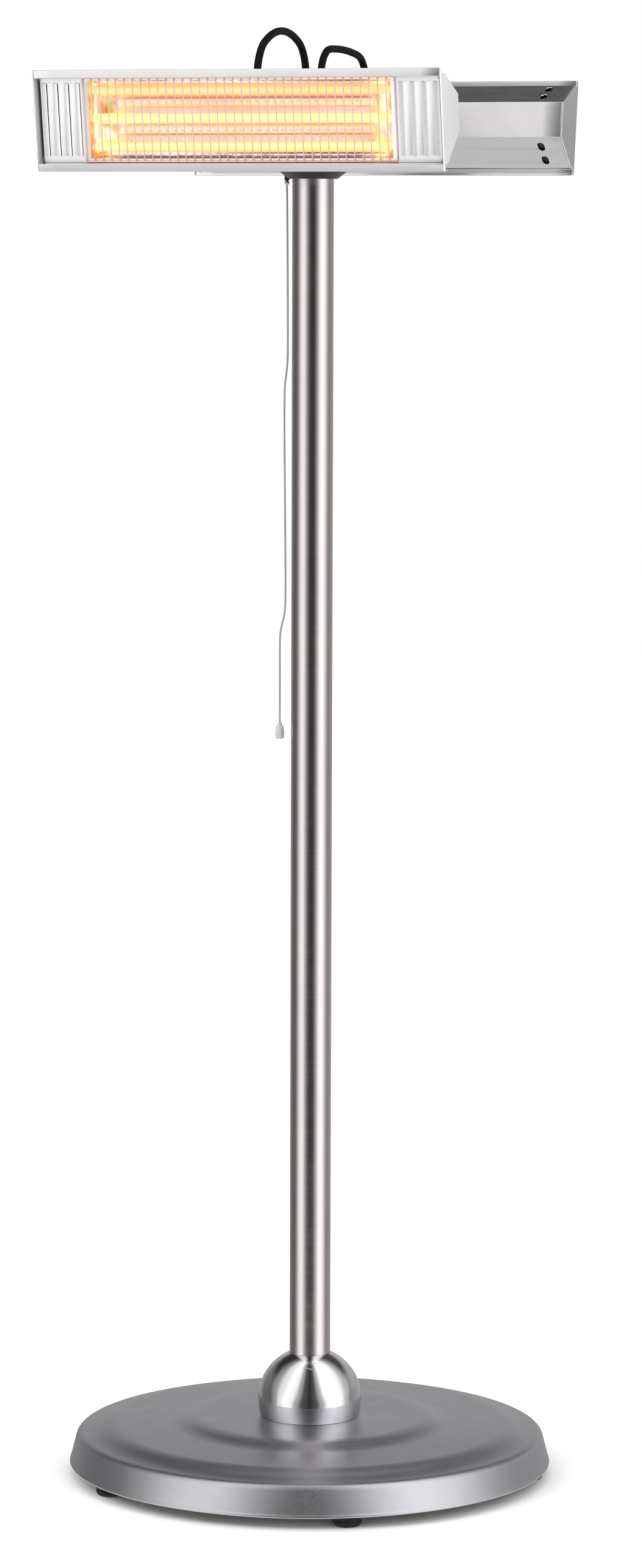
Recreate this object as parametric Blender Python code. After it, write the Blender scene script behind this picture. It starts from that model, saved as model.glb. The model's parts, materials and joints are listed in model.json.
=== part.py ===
"""Free-standing electric patio heater with two quartz heads on one pole.

Metres, +Z up. The origin is on the floor, on the pole's axis. Both heads lie
along X, back to back: the front head faces -Y and the rear head faces +Y.
"""

from math import acos, asin, cos, pi, radians, sin, sqrt

import bmesh
import bpy
from mathutils import Matrix, Vector

# ---- fits between pieces ----
GAP = 0.0003            # left between two pieces that touch
SLIP = 0.0004           # all round, where one tube slides into another
PIN_FIT = 0.0003        # all round a bolt in its bore
OVERCUT = 0.005         # cutters run this far past the faces they break

# ---- round base ----
BASE_R = 0.300          # lower edge of the flared rim
BASE_TOP_R = 0.290      # upper edge of the rim
RIM_Z = 0.014           # lower edge above the floor
RIM_H = 0.038
SHEET = 0.002           # pressed cover's wall
HEM_H = 0.002           # upright edge at the rim's foot
RIM_ROUND = 0.0025      # rounding of the rim's upper edge
TERRACE_R = (0.270, 0.249)  # foot and top of the first riser
TERRACE_H = 0.0085
PLATEAU_R = (0.167, 0.146)  # foot and top of the second riser
PLATEAU_H = 0.0067
RING_OUTER_H = 0.0020   # rise of the ring outside the first riser
RING_INNER_H = 0.0025   # rise of the ring between the risers
BALLAST_R = 0.284
BALLAST_BORE_R = 0.020
FOOT_R = 0.018
FOOT_RING_R = 0.275
FOOT_COUNT = 5
FOOT_START = radians(-62)
FOOT_SEAT = 0.0023      # ballast's underside above the rim's edge
FOOT_ROUND = 0.003      # rounding at the foot's lower and upper edges

# ---- pole ----
POLE_R = 0.0254
POLE_WALL = 0.0015
FLANGE_R = 0.085
FLANGE_T = 0.006
SPIGOT_H = 0.080
SPIGOT_WALL = 0.003
BALL_R = 0.065
BALL_SINK = 0.0190      # the ball is cut this far under its centre
BALL_WALL = 0.002
GROMMET_Z = 0.185
GROMMET_R = 0.007
GROMMET_BORE_R = 0.003
GROMMET_BARREL_R = 0.0045   # in the pole's wall
GROMMET_T = 0.004       # stands this far out of the pole

# ---- cross arm and tilt axes ----
HINGE_Z = 1.692         # height of both tilt axes
HINGE_Y = 0.1655        # distance of each tilt axis from the pole's axis
ARM_W = 0.030
ARM_H = 0.025
ARM_WALL = 0.002
SPIGOT_TAPER = 0.001    # arm's spigot is this much slimmer than the flange's
BARREL_R = 0.011        # cross tube at each end of the arm
BARREL_HALF = 0.052
BOLT_R = 0.004
BOLT_HEAD_R = 0.007
BOLT_HEAD_T = 0.005
KNOB_R = 0.016
KNOB_T = 0.018
KNOB_GRIP = 0.7         # share of the knob's length that the bolt runs in
KNOB_LOBES = 5
KNOB_WAVE = 0.07        # depth of the waves between the lobes, as a share of the radius
KNOB_STEPS = 30         # points round the knob

# ---- junction at the pole's top ----
JUNCTION_R = POLE_R + 0.0226
JUNCTION_NECK_R = POLE_R + 0.0046
JUNCTION_DROP = 0.084   # its lower edge under the tilt axes
JUNCTION_CONE_H = 0.014
JUNCTION_WALL = 0.0025
JUNCTION_FLOOR_T = 0.0035
LID_T = 0.009
GLAND_R = 0.0085
GLAND_H = 0.014
LID_ROUND = 0.003       # run of each of the lid's two edge steps
LID_GLAND_Y = JUNCTION_R - 0.020

# ---- pull switch ----
SWITCH_X = POLE_R + 0.0083
SWITCH_SIZE = (0.015, 0.018, 0.030)
SWITCH_FLOOR = 0.020    # switch body above the junction's lower edge
SWITCH_WALL = 0.004     # floor of the switch body, under the collar's bore
BUSH_R = 0.0030
BUSH_OUT = 0.002        # bush under the junction's lower edge
ROD_R = 0.0017
COLLAR_R = 0.0035
COLLAR_T = 0.002
PULL_TRAVEL = 0.010
PULL_SPARE = 0.004      # left under the collar at full travel
EYE_R = 0.0030
EYE_H = 0.005
CORD_R = 0.00125
TOGGLE_R = 0.0055
TOGGLE_H = 0.020

# ---- heads, in each head's own frame: hinge axis at the origin, facing -Y ----
HEAD_TILT = radians(9)
HEAD_W = 0.505
HEAD_BACK = 0.057       # tilt axis to the back plate
HEAD_DEPTH = 0.064
BACK_HALF = 0.022       # back plate's half height
BODY_HALF = 0.052       # half height behind the face
LIP_HALF = 0.060        # half height over the two lips
LIP_T = 0.002
STRAIGHT = 0.014        # depth of the walls that stand square to the face
HEAD_WALL = 0.0015
CAP_T = 0.002
PANEL_RECESS = 0.012
PANEL_T = 0.0015
PANEL_END_GAP = 0.004   # open gap between the panel's ends and the caps
WINDOW_HALF = (0.187, 0.046)
SLOT_COUNT = 4
SLOT_PITCH = 0.0138
SLOT_W = 0.005
SLOT_HALF = 0.043
SLOT_START = 0.0125     # first slot's centre outside the window's edge
GUARD_T = 0.0015
GUARD_BORDER = 0.003
GUARD_PITCH = 0.0105
GUARD_BAR = 0.0016
GUARD_OVER = 0.0055     # guard beyond the window at each end
GUARD_INSET = 0.001     # guard inside the panel's upper and lower edges
REFLECTOR_T = 0.001
REFLECTOR_DEPTH = HEAD_DEPTH / 2
REFLECTOR_LAP = 0.0025      # reflector beyond the window at each end
REFLECTOR_INSET = 0.0027    # reflector inside the housing's upper and lower walls
REFLECTOR_SIDE_IN = 0.045
REFLECTOR_EDGE_IN = 0.0185
TUBE_R = 0.006
TUBE_WALL = 0.0012
TUBE_HALF = 0.210
TUBE_PITCH = 0.0335
TUBE_DEPTH = 0.0215     # tubes' axes behind the face
COIL_R = 0.0032
COIL_HALF = 0.200
HOLDER_X = 0.196
HOLDER_T = 0.010
HOLDER_DEPTH = 0.017
HOLDER_FIT = 0.0008     # holders inside the housing's walls
YOKE_T = 0.003
YOKE_EAR_R = 0.014
YOKE_PLATE_HALF_Z = 0.018
BOX_HALF_X = 0.032
BOX_HALF_Z = 0.018
BOX_DEPTH = 0.032
BOX_WALL = 0.0025
BOX_ROUND = 0.002

# ---- cables and cord ----
CABLE_R = 0.0045

# Places that follow from the sizes above
RIM_TOP_Z = RIM_Z + RIM_H
TERRACE_LOW_Z = RIM_TOP_Z + RING_OUTER_H
TERRACE_Z = TERRACE_LOW_Z + TERRACE_H
PLATEAU_LOW_Z = TERRACE_Z + RING_INNER_H
PLATEAU_Z = PLATEAU_LOW_Z + PLATEAU_H
BALLAST_Z = (RIM_Z + FOOT_SEAT, RIM_TOP_Z - SHEET - 2 * GAP)
FLANGE_Z = (BALLAST_Z[1] + GAP, BALLAST_Z[1] + GAP + FLANGE_T)
BALL_Z = PLATEAU_Z + GAP + BALL_SINK
ARM_TOP_Z = HINGE_Z + ARM_H / 2
ARM_LOW_Z = HINGE_Z - ARM_H / 2
JUNCTION_LOW_Z = HINGE_Z - JUNCTION_DROP
LID_LOW_Z = ARM_TOP_Z + 2 * GAP
LID_TOP_Z = LID_LOW_Z + LID_T
FACE_Y = -HEAD_BACK - HEAD_DEPTH
PANEL_Y = FACE_Y + PANEL_RECESS
TUBE_Y = FACE_Y + TUBE_DEPTH
CHAMFER_SLOPE = (BODY_HALF - BACK_HALF) / (HEAD_DEPTH - STRAIGHT)
EAR_X = BARREL_HALF + GAP
EAR_OUT_X = EAR_X + YOKE_T

# Route of each head's cable, as (y, z) from the pole's axis and the tilt
# axes' height: up out of the junction's lid, over, and down to the head
FRONT_CABLE = (
    (-0.0280, 0.0374), (-0.0300, 0.0502), (-0.0359, 0.0625), (-0.0452, 0.0726), (-0.0570, 0.0794),
    (-0.0816, 0.0869), (-0.1070, 0.0903), (-0.1327, 0.0895), (-0.1579, 0.0844), (-0.1819, 0.0753),
    (-0.1940, 0.0670), (-0.2029, 0.0552), (-0.2078, 0.0413), (-0.2076, 0.0274),
)
REAR_CABLE = (
    (0.0280, 0.0376), (0.0307, 0.0507), (0.0382, 0.0627), (0.0497, 0.0710), (0.0634, 0.0746),
    (0.0859, 0.0756), (0.1084, 0.0757), (0.1309, 0.0748), (0.1533, 0.0730), (0.1756, 0.0701),
    (0.1897, 0.0651), (0.2007, 0.0550), (0.2074, 0.0413), (0.2076, 0.0274),
)
# Route of the pull cord, as (x, z) from its switch rod's eye
PULL_CORD = (
    (0.0000, -0.0003), (0.0004, -0.030), (0.0010, -0.090), (0.0014, -0.160),
    (0.0013, -0.212), (-0.0006, -0.232), (-0.0024, -0.250), (-0.0026, -0.300),
    (-0.0016, -0.400), (-0.0008, -0.490), (-0.0016, -0.522), (-0.0056, -0.540),
    (-0.0078, -0.556), (-0.0079, -0.600), (-0.0079, -0.660),
)

FINISHES = {
    # name: (colour, metallic, roughness)
    "stainless_steel": ((0.62, 0.61, 0.62), 1.0, 0.32),
    "polished_steel": ((0.78, 0.77, 0.78), 1.0, 0.08),
    "reflector_aluminium": ((0.85, 0.83, 0.80), 1.0, 0.12),
    "black_plastic": ((0.015, 0.013, 0.014), 0.0, 0.45),
    "black_rubber": ((0.012, 0.012, 0.012), 0.0, 0.75),
    "cable_rubber": ((0.014, 0.013, 0.013), 0.0, 0.60),
    "concrete": ((0.32, 0.31, 0.29), 0.0, 0.90),
    "zinc_steel": ((0.55, 0.56, 0.58), 1.0, 0.35),
    "powder_steel": ((0.03, 0.03, 0.03), 0.0, 0.50),
    "quartz_glass": ((0.95, 0.55, 0.25), 0.0, 0.10),
    "heating_wire": ((1.00, 0.35, 0.08), 0.0, 0.40),
    "ceramic": ((0.82, 0.79, 0.72), 0.0, 0.60),
    "grey_cord": ((0.62, 0.62, 0.62), 0.0, 0.80),
    "grey_plastic": ((0.60, 0.60, 0.60), 0.0, 0.40),
}


def finish(name):
    """The material of this name, made on first use."""
    if name in bpy.data.materials:
        return bpy.data.materials[name]
    colour, metallic, roughness = FINISHES[name]
    material = bpy.data.materials.new(name)
    material.use_nodes = True
    shader = material.node_tree.nodes["Principled BSDF"]
    shader.inputs["Base Color"].default_value = (*colour, 1)
    shader.inputs["Metallic"].default_value = metallic
    shader.inputs["Roughness"].default_value = roughness
    return material


# ---- meshes ----

def mesh_of(bm, name):
    """Turn a closed bmesh into a mesh with outward faces, round parts smooth."""
    bmesh.ops.recalc_face_normals(bm, faces=bm.faces)
    mesh = bpy.data.meshes.new(name)
    bm.to_mesh(mesh)
    bm.free()
    mesh.shade_smooth()
    mesh.set_sharp_from_angle(angle=radians(35))
    return mesh


def turned(name, profile, steps, ring=True, axis="Z"):
    """Turn (radius, height) points about an axis. A ring's profile is a loop;
    a solid's profile runs from the axis to the axis."""
    bm = bmesh.new()
    verts = [bm.verts.new((r, 0, z)) for r, z in profile]
    pairs = list(zip(verts, verts[1:]))
    if ring:
        pairs.append((verts[-1], verts[0]))
    edges = [bm.edges.new(pair) for pair in pairs]
    bmesh.ops.spin(bm, geom=verts + edges, cent=(0, 0, 0), axis=(0, 0, 1),
                   angle=2 * pi, steps=steps, use_merge=True)
    bmesh.ops.remove_doubles(bm, verts=bm.verts, dist=1e-6)
    turn = {"Z": Matrix(), "X": Matrix.Rotation(pi / 2, 4, "Y"), "Y": Matrix.Rotation(-pi / 2, 4, "X")}
    bm.transform(turn[axis])
    return mesh_of(bm, name)


def rod(name, radius, low, high, steps, axis="Z"):
    """Solid cylinder on an axis, from low to high."""
    return turned(name, [(0, low), (radius, low), (radius, high), (0, high)], steps, False, axis)


def pipe(name, outer, inner, low, high, steps, axis="Z"):
    """Cylinder with a bore right through."""
    return turned(name, [(inner, low), (outer, low), (outer, high), (inner, high)], steps, True, axis)


def block(name, low, high, bevel=0):
    """Box between two corners, with its edges rounded where bevel is given."""
    bm = bmesh.new()
    size = Vector(high) - Vector(low)
    bmesh.ops.create_cube(bm, size=1)
    bmesh.ops.transform(bm, verts=bm.verts, matrix=Matrix.Diagonal((*size, 1)))
    bmesh.ops.translate(bm, verts=bm.verts, vec=(Vector(low) + Vector(high)) / 2)
    if bevel:
        bmesh.ops.bevel(bm, geom=bm.edges[:], offset=bevel, segments=1, profile=0.5,
                        affect="EDGES", material=-1)
    return mesh_of(bm, name)


def blocks(name, boxes):
    """Several separate boxes in one mesh, for a cutter."""
    bm = bmesh.new()
    for low, high in boxes:
        size = Vector(high) - Vector(low)
        made = bmesh.ops.create_cube(bm, size=1)["verts"]
        bmesh.ops.transform(bm, verts=made, matrix=Matrix.Diagonal((*size, 1)))
        bmesh.ops.translate(bm, verts=made, vec=(Vector(low) + Vector(high)) / 2)
    return mesh_of(bm, name)


def prism(name, outline, low, high):
    """Outline of (y, z) points, extruded along X."""
    bm = bmesh.new()
    face = bm.faces.new([bm.verts.new((low, y, z)) for y, z in outline])
    grown = bmesh.ops.extrude_face_region(bm, geom=[face])
    verts = [v for v in grown["geom"] if isinstance(v, bmesh.types.BMVert)]
    bmesh.ops.translate(bm, verts=verts, vec=(high - low, 0, 0))
    return mesh_of(bm, name)


def tray(name, y_front, y_back, front_half, back_half, wall):
    """Open-fronted tray with four sloping sides and a flat back, facing -Y.
    Its flat end walls slope more, so they are measured thicker along X."""
    bm = bmesh.new()

    def loop(y, half):
        return [bm.verts.new((sx * half[0], y, sz * half[1]))
                for sx, sz in ((-1, -1), (1, -1), (1, 1), (-1, 1))]

    outer_front = loop(y_front, front_half)
    outer_back = loop(y_back, back_half)
    inner_front = loop(y_front, (front_half[0] - 2 * wall, front_half[1] - 1.2 * wall))
    inner_back = loop(y_back - wall, (back_half[0] - 1.2 * wall, back_half[1] - wall))
    bm.faces.new(outer_back)
    bm.faces.new(inner_back)
    for a, b in ((outer_front, outer_back), (inner_front, inner_back), (outer_front, inner_front)):
        for i in range(4):
            j = (i + 1) % 4
            bm.faces.new((a[i], a[j], b[j], b[i]))
    return mesh_of(bm, name)


def smooth_route(points, per_span):
    """Points along the smooth curve (Catmull-Rom) through the given points."""
    ends = [2 * points[0] - points[1], *points, 2 * points[-1] - points[-2]]
    route = []
    for a, b, c, d in zip(ends, ends[1:], ends[2:], ends[3:]):
        for i in range(per_span):
            t = i / per_span
            route.append(0.5 * (2 * b + (c - a) * t + (2 * a - 5 * b + 4 * c - d) * t * t
                                + (3 * b - a - 3 * c + d) * t ** 3))
    route.append(points[-1])
    return route


# ---- objects ----

def place(name, data, finish_name, parent=None):
    """Put a mesh or curve in the scene as one named piece."""
    piece = bpy.data.objects.new(name, data)
    data.materials.append(finish(finish_name))
    bpy.context.scene.collection.objects.link(piece)
    piece.parent = parent
    return piece


def tool(piece, data, operation):
    """Cut the piece with a hidden mesh, or join the mesh to it."""
    helper = bpy.data.objects.new(f"{piece.name}_{operation.lower()}_{len(piece.modifiers)}", data)
    bpy.context.scene.collection.objects.link(helper)
    helper.parent = piece.parent
    helper.hide_render = True
    helper.display_type = "WIRE"
    step = piece.modifiers.new(helper.name, "BOOLEAN")
    step.operation = operation
    step.solver = "EXACT"
    step.object = helper


def cut(piece, data):
    """Cut the mesh out of the piece."""
    tool(piece, data, "DIFFERENCE")


def join(piece, data):
    """Make the mesh one body with the piece."""
    tool(piece, data, "UNION")


def empty(name, location, rotation=(0, 0, 0)):
    """A frame for the pieces that turn or slide together, on their joint's axis."""
    frame = bpy.data.objects.new(name, None)
    frame.location = location
    frame.rotation_euler = rotation
    bpy.context.scene.collection.objects.link(frame)
    return frame


def cable(name, points, radius, finish_name, parent, resolution=2, per_span=2):
    """Round cable along a smooth curve through the points."""
    curve = bpy.data.curves.new(name, "CURVE")
    curve.dimensions = "3D"
    curve.bevel_depth = radius
    curve.bevel_resolution = resolution
    curve.use_fill_caps = True
    route = smooth_route([Vector(p) for p in points], per_span)
    spline = curve.splines.new("POLY")
    spline.points.add(len(route) - 1)
    for point, at in zip(spline.points, route):
        point.co = (*at, 1)
    return place(name, curve, finish_name, parent)


# ---- base ----

def base_cover():
    """Pressed cover: flared rim, two flat rings, two soft risers, plateau."""
    bore = POLE_R + SLIP
    slope = (BASE_R - BASE_TOP_R) / (RIM_H - HEM_H)
    outside = [
        (BASE_R, RIM_Z), (BASE_R, RIM_Z + HEM_H),
        (BASE_TOP_R + RIM_ROUND * slope, RIM_TOP_Z - RIM_ROUND),
        (BASE_TOP_R - RIM_ROUND * slope, RIM_TOP_Z - RIM_ROUND / 3),
        (BASE_TOP_R - RIM_ROUND, RIM_TOP_Z),
        (TERRACE_R[0], TERRACE_LOW_Z), (TERRACE_R[1], TERRACE_Z),
        (PLATEAU_R[0], PLATEAU_LOW_Z), (PLATEAU_R[1], PLATEAU_Z), (bore, PLATEAU_Z),
    ]
    inside = [
        (bore, PLATEAU_Z - SHEET), (PLATEAU_R[1], PLATEAU_Z - SHEET),
        (PLATEAU_R[0], PLATEAU_LOW_Z - SHEET), (TERRACE_R[1], TERRACE_Z - SHEET),
        (TERRACE_R[0], TERRACE_LOW_Z - SHEET), (BASE_TOP_R - RIM_ROUND - SHEET, RIM_TOP_Z - SHEET),
        (BASE_R - SHEET, RIM_Z),
    ]
    place("base_cover", turned("base_cover", outside + inside, 48), "stainless_steel")


def ballast_and_feet():
    """Concrete ballast inside the cover, and the rubber feet under it."""
    low, high = BALLAST_Z
    place("ballast_plate", pipe("ballast_plate", BALLAST_R, BALLAST_BORE_R, low, high, 40), "concrete")
    height = low - GAP
    profile = [(0, 0), (FOOT_R - FOOT_ROUND, 0), (FOOT_R, FOOT_ROUND), (FOOT_R, height - FOOT_ROUND),
               (FOOT_R - FOOT_ROUND, height), (0, height)]
    for i in range(FOOT_COUNT):
        angle = FOOT_START + 2 * pi * i / FOOT_COUNT
        foot = place(f"foot_{i + 1}", turned("foot", profile, 16, False), "black_rubber")
        foot.location = (FOOT_RING_R * cos(angle), FOOT_RING_R * sin(angle), 0)


def pole_and_ball():
    """Flange bolted to the ballast, pole over its spigot, grommet, ball cover."""
    low, high = FLANGE_Z
    spigot_r = POLE_R - POLE_WALL - SLIP
    flange = [(spigot_r - SPIGOT_WALL, low), (FLANGE_R, low), (FLANGE_R, high), (spigot_r, high),
              (spigot_r, high + SPIGOT_H), (spigot_r - SPIGOT_WALL, high + SPIGOT_H)]
    place("pole_flange", turned("pole_flange", flange, 32), "zinc_steel")

    pole = place("pole", pipe("pole", POLE_R, POLE_R - POLE_WALL, high + GAP, ARM_LOW_Z - GAP, 32),
                 "stainless_steel")
    hole = rod("grommet_hole", GROMMET_BARREL_R + GAP, 0, 2 * POLE_R, 16, "Y")
    cut(pole, moved(hole, (0, 0, GROMMET_Z)))
    inside, seat = POLE_R - POLE_WALL, POLE_R + GAP
    grommet = [(GROMMET_BORE_R, inside), (GROMMET_BARREL_R, inside), (GROMMET_BARREL_R, seat),
               (GROMMET_R, seat), (GROMMET_R * 0.8, seat + GROMMET_T * 0.75),
               (GROMMET_BORE_R, seat + GROMMET_T)]
    place("lead_grommet", moved(turned("lead_grommet", grommet, 16, True, "Y"), (0, 0, GROMMET_Z)),
          "black_rubber")

    bore = POLE_R + SLIP
    arcs = []
    for radius, count in ((BALL_R, 9), (BALL_R - BALL_WALL, 6)):
        from_angle = -asin(BALL_SINK / radius)
        to_angle = acos(bore / radius)
        arc = [from_angle + (to_angle - from_angle) * i / (count - 1) for i in range(count)]
        arcs.append([(radius * cos(a), BALL_Z + radius * sin(a)) for a in arc])
    place("ball_cover", turned("ball_cover", arcs[0] + arcs[1][::-1], 30), "polished_steel")


def moved(mesh, offset):
    """The same mesh, shifted."""
    mesh.transform(Matrix.Translation(offset))
    return mesh


# ---- cross arm, junction and pull switch ----

def cross_arm():
    """Square tube with a barrel across each end and a spigot into the pole."""
    end = HINGE_Y - BARREL_R / 2
    arm = place("cross_arm", block("cross_arm", (-ARM_W / 2, -end, ARM_LOW_Z), (ARM_W / 2, end, ARM_TOP_Z)),
                "powder_steel")
    spigot_r = POLE_R - POLE_WALL - SLIP - SPIGOT_TAPER
    spigot_low = ARM_LOW_Z - SPIGOT_H
    join(arm, rod("spigot", spigot_r, spigot_low, HINGE_Z, 28))
    for side in (-1, 1):
        at = (0, side * HINGE_Y, HINGE_Z)
        join(arm, moved(rod("barrel", BARREL_R, -BARREL_HALF, BARREL_HALF, 20, "X"), at))
    inner_end = HINGE_Y - BARREL_R - ARM_WALL
    hollow = [((-ARM_W / 2 + ARM_WALL, -inner_end, ARM_LOW_Z + ARM_WALL),
               (ARM_W / 2 - ARM_WALL, inner_end, ARM_TOP_Z - ARM_WALL))]
    cut(arm, blocks("arm_hollow", hollow))
    bore_r = min(ARM_W / 2 - ARM_WALL - SPIGOT_TAPER, spigot_r - SPIGOT_WALL)
    cut(arm, rod("spigot_bore", bore_r, spigot_low - OVERCUT, HINGE_Z, 20))
    for side in (-1, 1):
        at = (0, side * HINGE_Y, HINGE_Z)
        cut(arm, moved(rod("bore", BOLT_R + PIN_FIT, -2 * BARREL_HALF, 2 * BARREL_HALF, 16, "X"), at))


def junction():
    """Black housing round the pole's top, with a lid and a gland for each cable."""
    bore = POLE_R + GAP
    low = JUNCTION_LOW_Z
    cone_top = low + JUNCTION_CONE_H
    top = ARM_TOP_Z + GAP
    inner_r = JUNCTION_R - JUNCTION_WALL
    profile = [
        (bore, low), (JUNCTION_NECK_R, low), (JUNCTION_R, cone_top), (JUNCTION_R, top),
        (inner_r, top), (inner_r, cone_top + JUNCTION_WALL / 2),
        (JUNCTION_NECK_R, low + JUNCTION_FLOOR_T), (bore, low + JUNCTION_FLOOR_T),
    ]
    housing = place("junction_housing", turned("junction_housing", profile, 36), "black_plastic")
    half = ARM_W / 2 + GAP
    notch = [((-half, -2 * JUNCTION_R, ARM_LOW_Z - GAP), (half, 2 * JUNCTION_R, top + OVERCUT))]
    cut(housing, blocks("arm_notch", notch))
    hole = rod("switch_hole", BUSH_R + GAP, low - OVERCUT, low + SWITCH_FLOOR, 16)
    cut(housing, moved(hole, (-SWITCH_X, 0, 0)))

    lid = [(0, LID_LOW_Z), (JUNCTION_R, LID_LOW_Z), (JUNCTION_R, LID_TOP_Z - 5 / 3 * LID_ROUND),
           (JUNCTION_R - LID_ROUND, LID_TOP_Z - 2 / 3 * LID_ROUND), (JUNCTION_R - 2 * LID_ROUND, LID_TOP_Z),
           (0, LID_TOP_Z)]
    place("junction_lid", turned("junction_lid", lid, 36, False), "black_plastic")
    for end, side in (("front", -1), ("rear", 1)):
        gland = place(f"{end}_lid_gland", gland_mesh(), "black_plastic")
        gland.location = (0, side * LID_GLAND_Y, LID_TOP_Z + GAP)


def gland_mesh():
    """Cable gland: a foot, a neck and a domed nut."""
    foot, neck, shoulder = (GLAND_H * share for share in (0.35, 0.45, 0.80))
    profile = [(0, 0), (GLAND_R, 0), (GLAND_R, foot), (GLAND_R * 0.8, neck),
               (GLAND_R * 0.88, shoulder), (GLAND_R * 0.62, GLAND_H), (0, GLAND_H)]
    return turned("gland", profile, 12, False)


def pull_switch():
    """Switch inside the junction, and the sprung rod, cord and toggle under it."""
    low = JUNCTION_LOW_Z + SWITCH_FLOOR
    half_x, half_y, tall = SWITCH_SIZE[0] / 2, SWITCH_SIZE[1] / 2, SWITCH_SIZE[2]
    bush_low = JUNCTION_LOW_Z - BUSH_OUT
    at = (-SWITCH_X, 0, 0)
    switch = place("pull_switch", moved(block("pull_switch", (-half_x, -half_y, low),
                                              (half_x, half_y, low + tall)), at), "black_plastic")
    join(switch, moved(rod("bush", BUSH_R, bush_low, low + SWITCH_WALL / 2, 16), at))
    cut(switch, moved(rod("rod_bore", ROD_R + PIN_FIT, bush_low - OVERCUT, low + tall, 14), at))
    cut(switch, moved(rod("collar_bore", COLLAR_R + GAP, low + SWITCH_WALL, low + tall + OVERCUT, 16), at))

    frame = empty("pull_axis", (-SWITCH_X, 0, bush_low))
    collar_low = low + SWITCH_WALL + PULL_TRAVEL + PULL_SPARE - bush_low
    rod_profile = [
        (0, -GAP - EYE_H), (EYE_R * 0.7, -GAP - EYE_H), (EYE_R, -GAP - EYE_H * 0.6),
        (EYE_R, -GAP - EYE_H * 0.2), (ROD_R, -GAP), (ROD_R, collar_low), (COLLAR_R, collar_low),
        (COLLAR_R, collar_low + COLLAR_T), (0, collar_low + COLLAR_T),
    ]
    place("pull_rod", turned("pull_rod", rod_profile, 14, False), "zinc_steel", frame)
    eye = -GAP - EYE_H
    points = [(x, 0, eye + z) for x, z in PULL_CORD]
    cable("pull_cord", points, CORD_R, "grey_cord", frame, per_span=3)
    end_x, _, end_z = points[-1]
    top = end_z - GAP
    toggle = [(0, top), (TOGGLE_R * 0.45, top), (TOGGLE_R * 0.8, top - TOGGLE_H * 0.15),
              (TOGGLE_R, top - TOGGLE_H * 0.45), (TOGGLE_R, top - TOGGLE_H * 0.85),
              (TOGGLE_R * 0.8, top - TOGGLE_H), (0, top - TOGGLE_H)]
    place("pull_toggle", moved(turned("pull_toggle", toggle, 16, False), (end_x, 0, 0)),
          "grey_plastic", frame)


def hinge_hardware(end, side):
    """Bolt through the arm's barrel, and the star knob that clamps the yoke."""
    frame = empty(f"{end}_hinge", (0, side * HINGE_Y, HINGE_Z))
    head_x = EAR_OUT_X + GAP
    tip = head_x + KNOB_T * KNOB_GRIP
    bolt = [(0, -head_x - BOLT_HEAD_T), (BOLT_HEAD_R, -head_x - BOLT_HEAD_T), (BOLT_HEAD_R, -head_x),
            (BOLT_R, -head_x), (BOLT_R, tip), (0, tip)]
    place(f"{end}_hinge_bolt", turned("hinge_bolt", bolt, 16, False, "X"), "zinc_steel", frame)

    outline = []
    for i in range(KNOB_STEPS):
        angle = 2 * pi * i / KNOB_STEPS
        radius = KNOB_R * (1 - KNOB_WAVE + KNOB_WAVE * cos(KNOB_LOBES * angle))
        outline.append((radius * cos(angle), radius * sin(angle)))
    knob = place(f"{end}_knob", prism("knob", outline, head_x, head_x + KNOB_T), "black_plastic", frame)
    cut(knob, rod("knob_bore", BOLT_R + PIN_FIT, head_x - OVERCUT, tip + GAP, 16, "X"))


# ---- heads ----

def housing_outline(wall=0.0, lips=True):
    """Half outline of a head's housing as (y, z), from the face to the back."""
    back = -HEAD_BACK - wall
    corner = wall * (sqrt(1 + CHAMFER_SLOPE ** 2) - CHAMFER_SLOPE)
    bend = wall * (sqrt(1 + CHAMFER_SLOPE ** 2) - 1) / CHAMFER_SLOPE
    points = [(FACE_Y, BODY_HALF - wall), (FACE_Y + STRAIGHT - bend, BODY_HALF - wall),
              (back, BACK_HALF - corner)]
    if lips:
        points = [(FACE_Y, LIP_HALF), (FACE_Y + LIP_T, LIP_HALF), (FACE_Y + LIP_T, BODY_HALF), *points[1:]]
    return points


def mirrored(points):
    """The same points under the X axis, in reverse."""
    return [(y, -z) for y, z in reversed(points)]


def inner_half(depth):
    """Half height inside the housing, this far behind the face."""
    slant_wall = HEAD_WALL * sqrt(1 + CHAMFER_SLOPE ** 2)
    return BODY_HALF - slant_wall - max(0, depth - STRAIGHT) * CHAMFER_SLOPE


def head_casing(end, frame):
    """Folded housing, open at the face, with a flat cap on each end."""
    outer = housing_outline()
    inner = housing_outline(HEAD_WALL, lips=False)
    section = [*outer, *mirrored(outer), *[(y, -z) for y, z in inner], *inner[::-1]]
    half = HEAD_W / 2 - CAP_T - GAP
    place(f"{end}_housing", prism("housing", section, -half, half), "stainless_steel", frame)
    cap = [*outer, *mirrored(outer)]
    place(f"{end}_left_cap", prism("cap", cap, -HEAD_W / 2, -HEAD_W / 2 + CAP_T), "stainless_steel", frame)
    place(f"{end}_right_cap", prism("cap", cap, HEAD_W / 2 - CAP_T, HEAD_W / 2), "stainless_steel", frame)


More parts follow.
